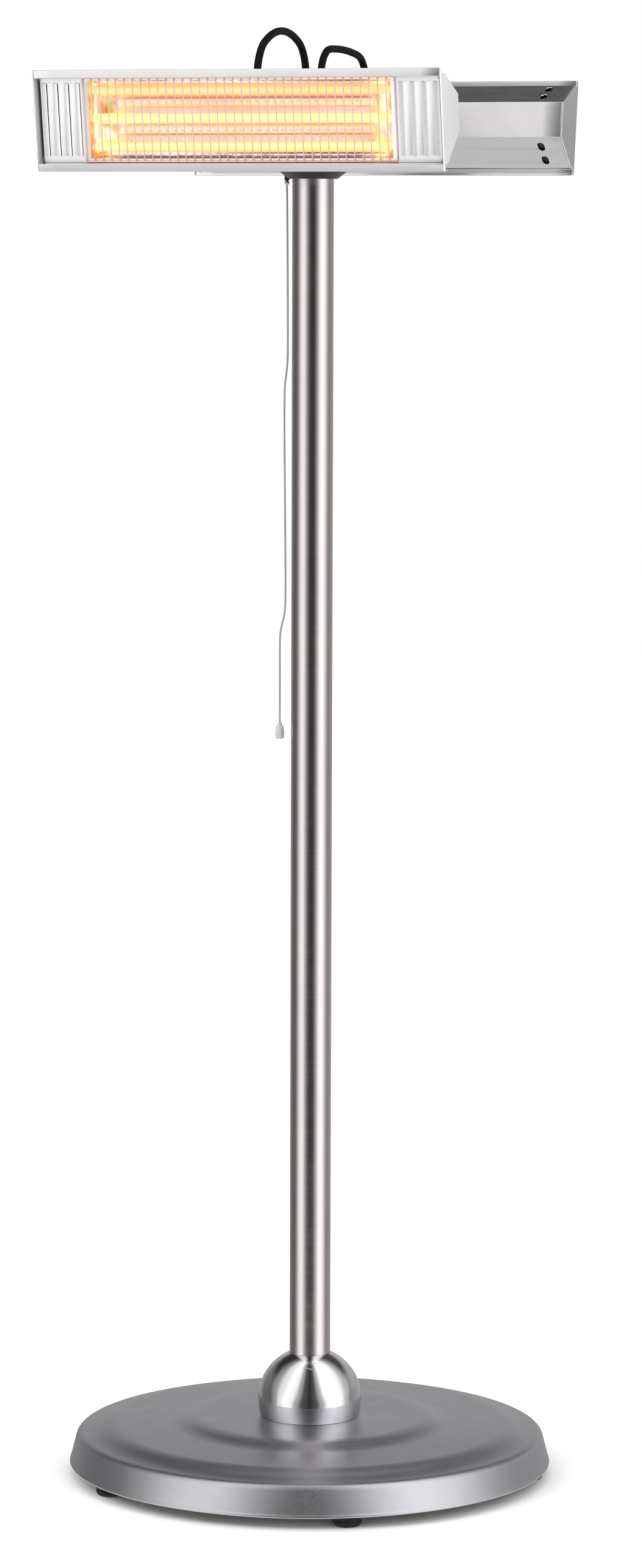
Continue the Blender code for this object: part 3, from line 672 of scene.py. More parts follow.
TUBES = (
    GlowingQuartz("quartz_upper", (1.0, 0.40, 0.11), (1.0, 0.27, 0.10)),
    GlowingQuartz("quartz_middle", (1.0, 0.78, 0.24), (1.0, 0.50, 0.18)),
    GlowingQuartz("quartz_lower", (1.0, 0.64, 0.20), (1.0, 0.38, 0.14)),
)


# ---------------------------------------------------------------- shapes


def finished(bm: bmesh.types.BMesh, name: str) -> bpy.types.Mesh:
    """Ends a bmesh.

    Args:
        bm: the bmesh, which is freed.
        name: the mesh's name.

    Returns:
        The mesh, smooth with sharp edges kept.
    """
    mesh = bpy.data.meshes.new(name)
    bm.to_mesh(mesh)
    bm.free()
    mesh.shade_smooth()
    mesh.set_sharp_from_angle(angle=radians(SMOOTH_ANGLE))
    return mesh


def round_off(bm: bmesh.types.BMesh, geometry: Sequence[object], offset: float, segments: int,
              affect: str = "EDGES") -> None:
    """Rounds edges, or the corners of a line.

    Args:
        bm: the bmesh.
        geometry: the edges or vertices.
        offset: how far back the rounding starts.
        segments: faces across it.
        affect: EDGES or VERTICES.
    """
    bmesh.ops.bevel(bm, geom=geometry, offset=offset, segments=segments, profile=0.5, affect=affect,
                    material=-1)


def push_out(bm: bmesh.types.BMesh, grown: Sequence[object], by: Point) -> None:
    """Moves what an extrusion made.

    Args:
        bm: the bmesh.
        grown: the extrusion's geometry.
        by: the step.
    """
    bmesh.ops.translate(bm, verts=[v for v in grown if isinstance(v, bmesh.types.BMVert)], vec=by)


def both_halves(upper: Sequence[tuple[float, float]]) -> list[tuple[float, float]]:
    """A section's upper half followed by its mirror image below, in reverse."""
    return [*upper, *[(y, -z) for y, z in reversed(upper)]]


def seat_of(node: str) -> Vector:
    """The middle of the underside of a CAD node's box."""
    low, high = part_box(node)
    return Vector(((low.x + high.x) / 2, (low.y + high.y) / 2, low.z))


class Shape:
    """A bmesh being built from operators, one island at a time."""

    def __init__(self) -> None:
        """Starts empty."""
        self.bm = bmesh.new()

    def _since(self, before: set[bmesh.types.BMVert]) -> list[bmesh.types.BMVert]:
        """The vertices made since a moment.

        Args:
            before: the vertices there were then.

        Returns:
            The new ones.
        """
        return [v for v in self.bm.verts if v not in before]

    def _settle(self, verts: Sequence[bmesh.types.BMVert], axis: Axis, at: Point) -> None:
        """Turns new vertices from Z onto an axis and moves them to their place.

        Args:
            verts: the vertices.
            axis: the axis they belong on.
            at: the place of their origin.
        """
        bmesh.ops.transform(self.bm, verts=list(verts), matrix=Matrix.Translation(Vector(at)) @ axis.value)

    def turn(self, profile: Sequence[Point], steps: int = 96, ring: bool = True,
             axis: Axis = Axis.Z, at: Point = (0, 0, 0)) -> "Shape":
        """Turns a profile about an axis.

        Args:
            profile: (radius, height) points, or (radius, height, rounding).
            steps: faces around.
            ring: True where the profile is a closed loop clear of the axis.
            axis: the axis it turns about.
            at: the place of its origin.

        Returns:
            This shape.
        """
        bm, before = self.bm, set(self.bm.verts)
        verts = [bm.verts.new((p[0], 0, p[1])) for p in profile]
        for a, b in zip(verts, verts[1:] + verts[:1] if ring else verts[1:]):
            bm.edges.new((a, b))
        for vert, point in zip(verts, profile):
            if len(point) > 2:
                round_off(bm, [vert], point[2], 4, "VERTICES")
        line = self._since(before)
        edges = list({e for v in line for e in v.link_edges})
        bmesh.ops.spin(bm, geom=line + edges, cent=(0, 0, 0), axis=(0, 0, 1), angle=2 * pi,
                       steps=steps, use_merge=True)
        bmesh.ops.remove_doubles(bm, verts=self._since(before), dist=1e-6)
        self._settle(self._since(before), axis, at)
        return self

    def rod(self, radius: float, low: float, high: float, sides: int = 32, axis: Axis = Axis.Z,
            at: Point = (0, 0, 0), bevel: float = 0.0) -> "Shape":
        """A solid rod on an axis; six sides make a nut.

        Args:
            radius: to the corners.
            low: lower end along the axis.
            high: upper end.
            sides: faces around.
            axis: the axis it lies on.
            at: the place of its origin.
            bevel: rounding of its end edges.

        Returns:
            This shape.
        """
        bm, before = self.bm, set(self.bm.verts)
        bmesh.ops.create_cone(bm, cap_ends=True, segments=sides, radius1=radius, radius2=radius,
                              depth=high - low, matrix=Matrix.Translation((0, 0, (low + high) / 2)))
        if bevel:
            new = set(self._since(before))
            ends = [e for e in bm.edges if e.verts[0] in new
                    and abs(e.verts[0].co.z - e.verts[1].co.z) < 1e-9
                    and any(len(f.verts) == sides for f in e.link_faces)]
            round_off(bm, ends, bevel, 2)
        self._settle(self._since(before), axis, at)
        return self

    def box(self, low: Point, high: Point, bevel: float) -> "Shape":
        """A box between two corners.

        Args:
            low: lowest corner.
            high: highest corner.
            bevel: rounding of its edges.

        Returns:
            This shape.
        """
        bm, before = self.bm, set(self.bm.verts)
        bmesh.ops.create_cube(bm, size=1)
        new = self._since(before)
        size, middle = Vector(high) - Vector(low), (Vector(high) + Vector(low)) / 2
        bmesh.ops.transform(bm, verts=new, matrix=Matrix.Translation(middle) @ Matrix.Diagonal((*size, 1)))
        round_off(bm, list({e for v in new for e in v.link_edges}), bevel, 3)
        return self

    def slab(self, outline: Sequence[Point], low: float, high: float, bevel: float = 0.0,
             axis: Axis = Axis.X) -> "Shape":
        """An outline given thickness along an axis.

        Args:
            outline: (y, z) points for X, or (x, y) points for Z.
            low: lower end along the axis.
            high: upper end.
            bevel: rounding of the two outlines' edges.
            axis: X or Z.

        Returns:
            This shape.
        """
        bm, before = self.bm, set(self.bm.verts)
        place = (lambda p: (low, p[0], p[1])) if axis is Axis.X else (lambda p: (p[0], p[1], low))
        face = bm.faces.new([bm.verts.new(place(p)) for p in outline])
        grown = bmesh.ops.extrude_face_region(bm, geom=[face])["geom"]
        push_out(bm, grown, (high - low, 0, 0) if axis is Axis.X else (0, 0, high - low))
        if bevel:
            new = set(self._since(before))
            rims = [e for e in bm.edges if e.verts[0] in new
                    and any(len(f.verts) == len(outline) for f in e.link_faces)]
            round_off(bm, rims, bevel, 3)
        return self

    def screw(self, radius: float, at: Point, axis: Axis, up: float = 1.0) -> "Shape":
        """A pan-head screw with a slot across it.

        Args:
            radius: of its head.
            at: its seat.
            axis: the axis it points along.
            up: 1 where its head faces the axis's positive end, else -1.

        Returns:
            This shape.
        """
        bm, before = self.bm, set(self.bm.verts)
        tall = radius * 0.55
        self.turn([(0, 0), (radius, 0), (radius, tall * 0.5, tall * 0.3), (radius * 0.7, tall, tall * 0.3),
                   (radius * 0.5, tall), (radius * 0.22, tall), (radius * 0.2, tall * 0.5), (0, tall * 0.5)],
                  24, ring=False)
        new = self._since(before)
        if up < 0:
            bmesh.ops.transform(bm, verts=new, matrix=Matrix.Rotation(pi, 4, "X"))
        self._settle(new, axis, at)
        return self

    def move(self, matrix: Matrix) -> "Shape":
        """Moves everything built so far.

        Args:
            matrix: the transform.

        Returns:
            This shape.
        """
        bmesh.ops.transform(self.bm, verts=self.bm.verts[:], matrix=matrix)
        return self

    def cut_along(self, places: Sequence[float], normal: Point) -> "Shape":
        """Adds an edge loop wherever a plane crosses the faces.

        Args:
            places: distances from the origin along the normal.
            normal: the planes' normal.

        Returns:
            This shape.
        """
        for place in places:
            bmesh.ops.bisect_plane(self.bm, geom=self.bm.verts[:] + self.bm.edges[:] + self.bm.faces[:],
                                   dist=1e-7, plane_co=Vector(normal) * place, plane_no=normal)
        return self

    def drop_faces(self, chosen: Callable[[Vector], bool]) -> "Shape":
        """Deletes the faces whose middle is chosen.

        Args:
            chosen: tells from a face's middle whether it goes.

        Returns:
            This shape.
        """
        faces = [f for f in self.bm.faces if chosen(f.calc_center_median())]
        bmesh.ops.delete(self.bm, geom=faces, context="FACES")
        return self

    def mesh(self, name: str, recalc: bool = True) -> bpy.types.Mesh:
        """Ends the building.

        Args:
            name: the mesh's name.
            recalc: True where the islands are closed, so that their faces are turned outwards.

        Returns:
            The mesh, smooth with sharp edges kept.
        """
        if recalc:
            bmesh.ops.recalc_face_normals(self.bm, faces=self.bm.faces)
            if self.bm.calc_volume(signed=True) < 0:
                bmesh.ops.reverse_faces(self.bm, faces=self.bm.faces)
        return finished(self.bm, name)


def smooth_route(points: Sequence[Point], per_span: int) -> list[Vector]:
    """Points along the smooth curve through the given ones.

    Args:
        points: the points to pass.
        per_span: points made between each two.

    Returns:
        The route.
    """
    known = [Vector(p) for p in points]
    ends = [2 * known[0] - known[1], *known, 2 * known[-1] - known[-2]]
    route = []
    for a, b, c, d in zip(ends, ends[1:], ends[2:], ends[3:]):
        for i in range(per_span):
            t = i / per_span
            route.append(0.5 * (2 * b + (c - a) * t + (2 * a - 5 * b + 4 * c - d) * t * t
                                + (3 * b - a - 3 * c + d) * t ** 3))
    return [*route, known[-1]]


def tube_mesh(name: str, route: Sequence[Vector], radius: float, sides: int) -> bpy.types.Mesh:
    """A round tube along a route in the plane x = a constant or y = a constant.

    Its UV map runs once round, and along the route in metres.

    Args:
        name: the mesh's name.
        route: its centreline.
        radius: of the tube.
        sides: faces round it.

    Returns:
        The closed mesh.
    """
    bm = bmesh.new()
    uv = bm.loops.layers.uv.new("along")
    runs = [0.0]
    for a, b in zip(route, route[1:]):
        runs.append(runs[-1] + (b - a).length)
    flat = max(p.x for p in route) - min(p.x for p in route) < 1e-9
    level = Vector((1, 0, 0)) if flat else Vector((0, 1, 0))
    rings = []
    for i, point in enumerate(route):
        ahead = (route[min(i + 1, len(route) - 1)] - route[max(i - 1, 0)]).normalized()
        turn = Matrix((level, ahead.cross(level).normalized(), ahead)).transposed().to_4x4()
        rings.append(bmesh.ops.create_circle(bm, segments=sides, radius=radius,
                                             matrix=Matrix.Translation(point) @ turn)["verts"])
    for i, (lower, upper) in enumerate(zip(rings, rings[1:])):
        for k in range(sides):
            n = (k + 1) % sides
            face = bm.faces.new((lower[k], lower[n], upper[n], upper[k]))
            for loop, (u, v) in zip(face.loops, ((k, i), (k + 1, i), (k + 1, i + 1), (k, i + 1))):
                loop[uv].uv = (u / sides, runs[v])
    for end in (rings[0], rings[-1]):
        bm.faces.new(end)
    bmesh.ops.recalc_face_normals(bm, faces=bm.faces)
    return finished(bm, name)


# ---------------------------------------------------------------- pieces


class SubAssembly:
    """Shared steps that put finished pieces on their bodies."""

    def add(self, name: str, mesh: bpy.types.Mesh, finish: Finish) -> bpy.types.Object:
        """Puts a mesh in the scene.

        Args:
            name: the piece's name.
            mesh: its mesh, already in place.
            finish: its finish.

        Returns:
            The object.
        """
        piece = bpy.data.objects.new(name, mesh)
        mesh.materials.clear()
        mesh.materials.append(finish.material())
        bpy.context.scene.collection.objects.link(piece)
        return piece

    def fix(self, piece: bpy.types.Object, body: Body, slot: Slot, *nodes: str) -> bpy.types.Object:
        """Rides a finished piece on its body and hides the CAD nodes that it replaces.

        Args:
            piece: the piece.
            body: its body.
            slot: the record's slot that its finish belongs to; not used.
            nodes: the CAD nodes that it replaces.

        Returns:
            The same piece.
        """
        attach(piece, body.value)
        if nodes:
            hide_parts(*nodes)
        LOG.info("%s on %s, %d faces", piece.name, body.value, len(piece.data.polygons))
        return piece

    def make(self, name: str, shape: Shape, finish: Finish, body: Body, slot: Slot,
             *nodes: str) -> bpy.types.Object:
        """Makes a closed shape a piece, and fixes it.

        Args:
            name: the piece's name.
            shape: its shape, already in place.
            finish: its finish.
            body: its body.
            slot: the record's slot.
            nodes: the CAD nodes that it replaces.

        Returns:
            The piece.
        """
        return self.fix(self.add(name, shape.mesh(name), finish), body, slot, *nodes)

    def dress(self, node: str, finish: Finish) -> None:
        """Gives a CAD node that stays its finish.

        Args:
            node: the node.
            finish: the finish.
        """
        piece = frame["nodes"][node]
        if not piece.material_slots:
            piece.data.materials.append(None)
        for holder in piece.material_slots:
            holder.material = finish.material()
        LOG.info("%s dressed", node)

    def thicken(self, piece: bpy.types.Object, thickness: float, offset: float) -> None:
        """Gives an open sheet its thickness.

        Args:
            piece: the sheet.
            thickness: in metres.
            offset: -1 inwards, 0 both ways, 1 outwards.
        """
        wall = piece.modifiers.new("wall", "SOLIDIFY")
        wall.thickness = thickness
        wall.offset = offset
        wall.use_even_offset = True

    def soften(self, piece: bpy.types.Object, width: float, segments: int = 2) -> None:
        """Rounds a piece's sharp edges.

        Args:
            piece: the piece.
            width: of the rounding.
            segments: faces across it.
        """
        edge = piece.modifiers.new("edge", "BEVEL")
        edge.width = width
        edge.segments = segments
        edge.limit_method = "ANGLE"
        edge.angle_limit = radians(BEVEL_ANGLE)
        edge.harden_normals = False

    def copy_of(self, node: str) -> bpy.types.Mesh:
        """A merged copy of a CAD node's mesh, flat faces joined up.

        Args:
            node: the node.

        Returns:
            The mesh.
        """
        bm = bmesh.new()
        bm.from_mesh(frame["nodes"][node].data)
        bmesh.ops.remove_doubles(bm, verts=bm.verts, dist=1e-5)
        bmesh.ops.dissolve_limit(bm, angle_limit=radians(2), verts=bm.verts, edges=bm.edges)
        return finished(bm, node)


@dataclass
class Base(SubAssembly):
    """Round pressed cover over a cast ballast plate, on five feet."""

    rim_radius: float = 0.300
    top_radius: float = 0.290
    rim_low: float = 0.014
    rim_top: float = 0.052
    sheet: float = 0.002
    terrace_radius: tuple[float, float] = (0.270, 0.249)
    terrace: tuple[float, float] = (0.0540, 0.0625)
    plateau_radius: tuple[float, float] = (0.167, 0.146)
    plateau: tuple[float, float] = (0.0650, 0.0717)
    bore: float = 0.0258
    foot_radius: float = 0.018
    foot_count: int = 5

    def cover(self) -> None:
        """Builds the cover: rolled hem, flared rim, two risers, plateau."""
        steps = [(r, z, 0.009) for r, z in zip(self.terrace_radius, self.terrace)]
        steps += [(r, z, 0.010) for r, z in zip(self.plateau_radius, self.plateau)]
        top, under = self.plateau[1], self.sheet
        outside = [
            (self.rim_radius, self.rim_low, 0.0012), (self.rim_radius, self.rim_low + 0.003, 0.0015),
            (self.rim_radius - 0.0012, self.rim_low + 0.0045, 0.0015),
            (self.top_radius + 0.0004, self.rim_top, 0.0062), *steps, (self.bore, top),
        ]
        inside = [
            (self.bore, top - under), *[(r, z - under, bend) for r, z, bend in reversed(steps)],
            (self.top_radius - 0.0045, self.rim_top - under, 0.003),
            (self.rim_radius - under - 0.0006, self.rim_low + 0.003),
            (self.rim_radius - under, self.rim_low),
        ]
        self.make("base_shell", Shape().turn(outside + inside, 160), BASE_STEEL, Body.STAND, Slot.BRUSHED,
                  "base_cover")

    def feet(self) -> None:
        """Builds the ribbed rubber feet where the CAD has them."""
        r = self.foot_radius
        for i in range(self.foot_count):
            node = f"foot_{i + 1}"
            low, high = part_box(node)
            top = high.z - low.z
            profile = [(0, 0.0006), (r * 0.55, 0.0006), (r * 0.6, 0), (r * 0.86, 0, 0.0008),
                       (r, 0.0028, 0.0012), (r, 0.0062, 0.0004), (r * 0.95, 0.0070), (r, 0.0078, 0.0004),
                       (r, top - 0.0042, 0.001), (r * 0.85, top), (0, top)]
            pad = Shape().turn(profile, 48, ring=False, at=seat_of(node))
            self.make(f"foot_pad_{i + 1}", pad, FOOT_RUBBER, Body.STAND, Slot.FOOT, node)

    def build(self) -> None:
        """Builds the whole base."""
        self.cover()
        self.feet()
        self.dress("ballast_plate", CONCRETE)


@dataclass
class Pole(SubAssembly):
    """Stainless pole in its flange, the ball over its foot, the lead's grommet."""

    radius: float = 0.0254
    wall: float = 0.0015
    ball_radius: float = 0.065
    ball_wall: float = 0.002
    ball_sink: float = 0.0190
    bore: float = 0.0258
    grommet_z: float = 0.185
    opening: float = 0.0046
    steps: int = 96

    def tube(self) -> None:
        """Builds the pole with the lead's opening in its back."""
        low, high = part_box("pole")
        cuts = (self.grommet_z - self.opening, self.grommet_z + self.opening)
        inner = self.radius - self.wall
        heights = [low.z, *cuts, high.z]
        profile = [(self.radius, z) for z in heights] + [(inner, z) for z in reversed(heights)]
        shape = Shape().turn(profile, self.steps)
        shape.drop_faces(lambda c: c.y > 0 and abs(c.x) < self.opening and cuts[0] < c.z < cuts[1])
        bmesh.ops.bridge_loops(shape.bm, edges=[e for e in shape.bm.edges if e.is_boundary])
        self.make("pole_tube", shape, POLE_STEEL, Body.STAND, Slot.BRUSHED, "pole")

    def ball(self) -> None:
        """Builds the polished ball cover, open where the pole and the base pass."""
        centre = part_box("ball_cover")[0].z + self.ball_sink
        arcs = []
        for radius, count in ((self.ball_radius, 40), (self.ball_radius - self.ball_wall, 12)):
            start, end = -asin(self.ball_sink / radius), acos(self.bore / radius)
            angles = [start + (end - start) * i / (count - 1) for i in range(count)]
            arcs.append([(radius * cos(a), centre + radius * sin(a)) for a in angles])
        shell = Shape().turn(arcs[0] + arcs[1][::-1], self.steps)
        self.make("ball_shell", shell, BALL_STEEL, Body.STAND, Slot.POLISHED, "ball_cover")

    def grommet(self) -> None:
        """Builds the rubber grommet in the pole's back."""
        low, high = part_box("lead_grommet")
        bore, barrel, flange = 0.003, 0.0045, (high.x - low.x) / 2
        seat = self.radius + GAP
        profile = [(bore, low.y), (barrel, low.y), (barrel, seat), (flange, seat, 0.0004),
                   (flange, seat + 0.0016, 0.0008), (barrel + 0.0004, high.y, 0.0006),
                   (bore, high.y, 0.0003)]
        ring = Shape().turn(profile, 40, axis=Axis.Y, at=(0, 0, (low.z + high.z) / 2))
        self.make("inlet_grommet", ring, FOOT_RUBBER, Body.STAND, Slot.FOOT, "lead_grommet")

    def build(self) -> None:
        """Builds the whole pole."""
        self.tube()
        self.ball()
        self.grommet()
        self.dress("pole_flange", ZINC)


def gland_shape(radius: float, height: float, at: Point) -> Shape:
    """A cable gland: hexagon foot, neck, hexagon nut, dome.

    Args:
        radius: of its foot.
        height: of the whole gland.
        at: its seat.

    Returns:
        The shape.
    """
    foot, neck, nut = height * 0.32, height * 0.42, height * 0.78
    shape = Shape()
    shape.rod(radius, 0, foot, 6, at=at, bevel=0.0004)
    shape.rod(radius * 0.72, foot, neck, 32, at=at)
    shape.rod(radius * 0.90, neck, nut, 6, at=at, bevel=0.0004)
    shape.turn([(0, nut), (radius * 0.76, nut), (radius * 0.74, height * 0.9, 0.0008),
                (radius * 0.62, height, 0.0005), (0, height)], 40, ring=False, at=at)
    return shape


@dataclass
class Junction(SubAssembly):
    """Black junction round the pole's top: housing, lid with screws, two glands."""

    radius: float = 0.048
    neck: float = 0.030
    bore: float = 0.0257
    wall: float = 0.0025
    cone: float = 0.014
    groove: tuple[float, float] = (0.0300, 0.0334)  # decorative groove's edges, above the cone
    groove_depth: float = 0.0008
    screw_ring: float = 0.0332
    arm_half: float = 0.0153
    arm_drop: float = 0.0259    # lid's seat to the arm's underside

    def housing(self) -> None:
        """Builds the funnel-shaped housing with its notches for the arm."""
        low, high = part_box("junction_housing")
        arm_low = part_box("junction_lid")[0].z - self.arm_drop
        r, cone, deep = self.radius, low.z + self.cone, self.groove_depth
        profile = [(self.bore, low.z), (self.neck, low.z, 0.0012), (r, cone, 0.004),
                   (r, cone + self.groove[0]), (r - deep, cone + self.groove[0] + deep),
                   (r - deep, cone + self.groove[1] - deep), (r, cone + self.groove[1]), (r, arm_low),
                   (r, high.z)]
        shape = Shape().turn(profile, ring=False)
        bm = shape.bm
        shape.cut_along((-self.arm_half, self.arm_half), (1, 0, 0))
        shape.drop_faces(lambda c: abs(c.x) < self.arm_half and c.z > arm_low and abs(c.y) > self.arm_half)
        bmesh.ops.recalc_face_normals(bm, faces=bm.faces)
        outward = sum(f.normal.dot(f.calc_center_median() * Vector((1, 1, 0))) for f in bm.faces)
        if outward < 0:
            bmesh.ops.reverse_faces(bm, faces=bm.faces)
        piece = self.add("junction_shell", shape.mesh("junction_shell", recalc=False), BLACK_PLASTIC)
        self.thicken(piece, self.wall, -1)
        self.fix(piece, Body.STAND, Slot.PLASTIC, "junction_housing")

    def lid(self) -> None:
        """Builds the lid, and its four screws."""
        low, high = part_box("junction_lid")
        r = self.radius
        profile = [(0, low.z), (r, low.z, 0.0006), (r, low.z + 0.0042, 0.001),
                   (r - 0.006, high.z - 0.0006, 0.002), (r - 0.012, high.z, 0.001), (0, high.z)]
        self.make("junction_cover", Shape().turn(profile, ring=False), BLACK_PLASTIC, Body.STAND,
                  Slot.PLASTIC, "junction_lid")
        screws = Shape()
        for i in range(4):
            angle = pi / 4 + i * pi / 2
            screws.screw(0.0034, (self.screw_ring * cos(angle), self.screw_ring * sin(angle),
                                  high.z + SCREW_GAP), Axis.Z)
        self.make("junction_screws", screws, ZINC, Body.STAND, Slot.ZINC)

    def glands(self) -> None:
        """Builds the glands that the two cables leave by."""
        for end in ("front", "rear"):
            node = f"{end}_lid_gland"
            low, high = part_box(node)
            nut = gland_shape((high.x - low.x) / 2, high.z - low.z, seat_of(node))
            self.make(f"{node}_nut", nut, BLACK_PLASTIC, Body.STAND, Slot.PLASTIC, node)

    def arm(self) -> None:
        """Builds the black cross arm that carries both heads."""
        piece = self.add("arm_frame", self.copy_of("cross_arm"), BLACK_STEEL)
        self.soften(piece, 0.0008)
        self.fix(piece, Body.STAND, Slot.BLACK_STEEL, "cross_arm")

    def build(self) -> None:
        """Builds everything round the pole's top."""
        self.housing()
        self.lid()
        self.glands()
        self.arm()
        self.dress("pull_switch", BLACK_PLASTIC)


@dataclass
class PullSwitch(SubAssembly):
    """Pull rod's eye, the cord that hangs from it and the toggle on its end."""

    cord_radius: float = 0.00125
    sides: int = 12
    toggle_radius: float = 0.0055
    route: tuple[Point, ...] = (
        (0.0000, -0.0003), (0.0004, -0.030), (0.0010, -0.090), (0.0014, -0.160),
        (0.0013, -0.212), (-0.0006, -0.232), (-0.0024, -0.250), (-0.0026, -0.300),
        (-0.0016, -0.400), (-0.0008, -0.490), (-0.0016, -0.522), (-0.0056, -0.540),
        (-0.0078, -0.556), (-0.0079, -0.600), (-0.0079, -0.660),
    )

    def build(self) -> None:
        """Builds the cord, its toggle and the eye."""
        eye = seat_of("pull_rod")
        route = smooth_route([eye + Vector((x, 0, z)) for x, z in self.route], 6)
        name = "pull_cord_braided"
        cord = self.add(name, tube_mesh(name, route, self.cord_radius, self.sides), PULL_BRAID)
        self.fix(cord, Body.PULL, Slot.CORD, "pull_cord")
        toggle = self.toggle(route[-1])
        self.fix(toggle, Body.PULL, Slot.TOGGLE, "pull_toggle")
        self.eye(eye)

    def toggle(self, end: Vector) -> bpy.types.Object:
        """Builds the moulded toggle.

        Args:
            end: the cord's lower end.

        Returns:
            The piece.
        """
        low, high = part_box("pull_toggle")
        r, top, bottom = self.toggle_radius, high.z - end.z, low.z - end.z
        profile = [(0, top), (r * 0.42, top, 0.0003), (r * 0.5, top - 0.0022, 0.0006),
                   (r * 0.82, top - 0.0050, 0.001), (r, top - 0.0100, 0.002), (r, bottom + 0.0046, 0.0003),
                   (r * 0.93, bottom + 0.0040), (r, bottom + 0.0034, 0.0003),
                   (r * 0.94, bottom + 0.0008, 0.0008), (r * 0.6, bottom, 0.0004),
                   (r * 0.5, bottom + 0.0010), (0, bottom + 0.0010)]
        mesh = Shape().turn(profile, 40, ring=False, at=end).mesh("toggle_moulding")
        return self.add("toggle_moulding", mesh, TOGGLE_PLASTIC)

    def eye(self, at: Vector) -> None:
        """Builds the sprung rod with its eye.

        Args:
            at: the middle of the rod's lower end.
        """
        r, rod, tall = 0.0030, 0.0017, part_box("pull_rod")[1].z - at.z
        profile = [(0, 0), (r * 0.7, 0, 0.0004), (r, 0.0020, 0.0008), (r, 0.0038, 0.0006), (rod, 0.0050),
                   (rod, tall - 0.002), (0.0035, tall - 0.002), (0.0035, tall, 0.0003), (0, tall)]
        self.make("switch_rod", Shape().turn(profile, 32, ring=False, at=at), ZINC, Body.PULL, Slot.ZINC,
                  "pull_rod")


@lru_cache
def coil_mesh(radius: float, wire: float, pitch: float, half: float) -> bpy.types.Mesh:
    """A heating coil about the Z axis, wound once and copied for each tube.

    Args:
        radius: of the coil, to the wire's middle.
        wire: the wire's own radius.
        pitch: between turns.
        half: half the coil's length.

    Returns:
        The mesh.
    """
    coil = Shape()
    ring = bmesh.ops.create_circle(coil.bm, segments=5, radius=wire, cap_ends=True,
                                   matrix=Matrix.Translation((radius, 0, -half))
                                   @ Matrix.Rotation(pi / 2, 4, "X"))["verts"]
    turns = 2 * half / pitch
    steps = round(turns * 10)
    geometry = ring + list({e for v in ring for e in v.link_edges}) + coil.bm.faces[:]
    bmesh.ops.spin(coil.bm, geom=geometry, cent=(0, 0, 0), axis=(0, 0, 1),
                   dvec=(0, 0, 2 * half / steps), angle=2 * pi * turns, steps=steps)
    return coil.mesh("coil")


@dataclass
class HeadPlan:
    """Where one head is and what it is called."""

    end: str
    body: Body
    clamp: Body
    turn: float
    cap_finish: Finish
    tilt: float = radians(9)

    def axis(self) -> Vector:
        """A point on the head's tilt axis."""
        return Vector(next(j for j in frame["joints"] if j["name"] == f"{self.end}_tilt")["pos_m"])

    def place(self) -> Matrix:
        """The head's own frame: its tilt axis at the origin, its face towards -Y."""
        return (Matrix.Translation(self.axis()) @ Matrix.Rotation(self.turn, 4, "Z")
                @ Matrix.Rotation(self.tilt, 4, "X"))


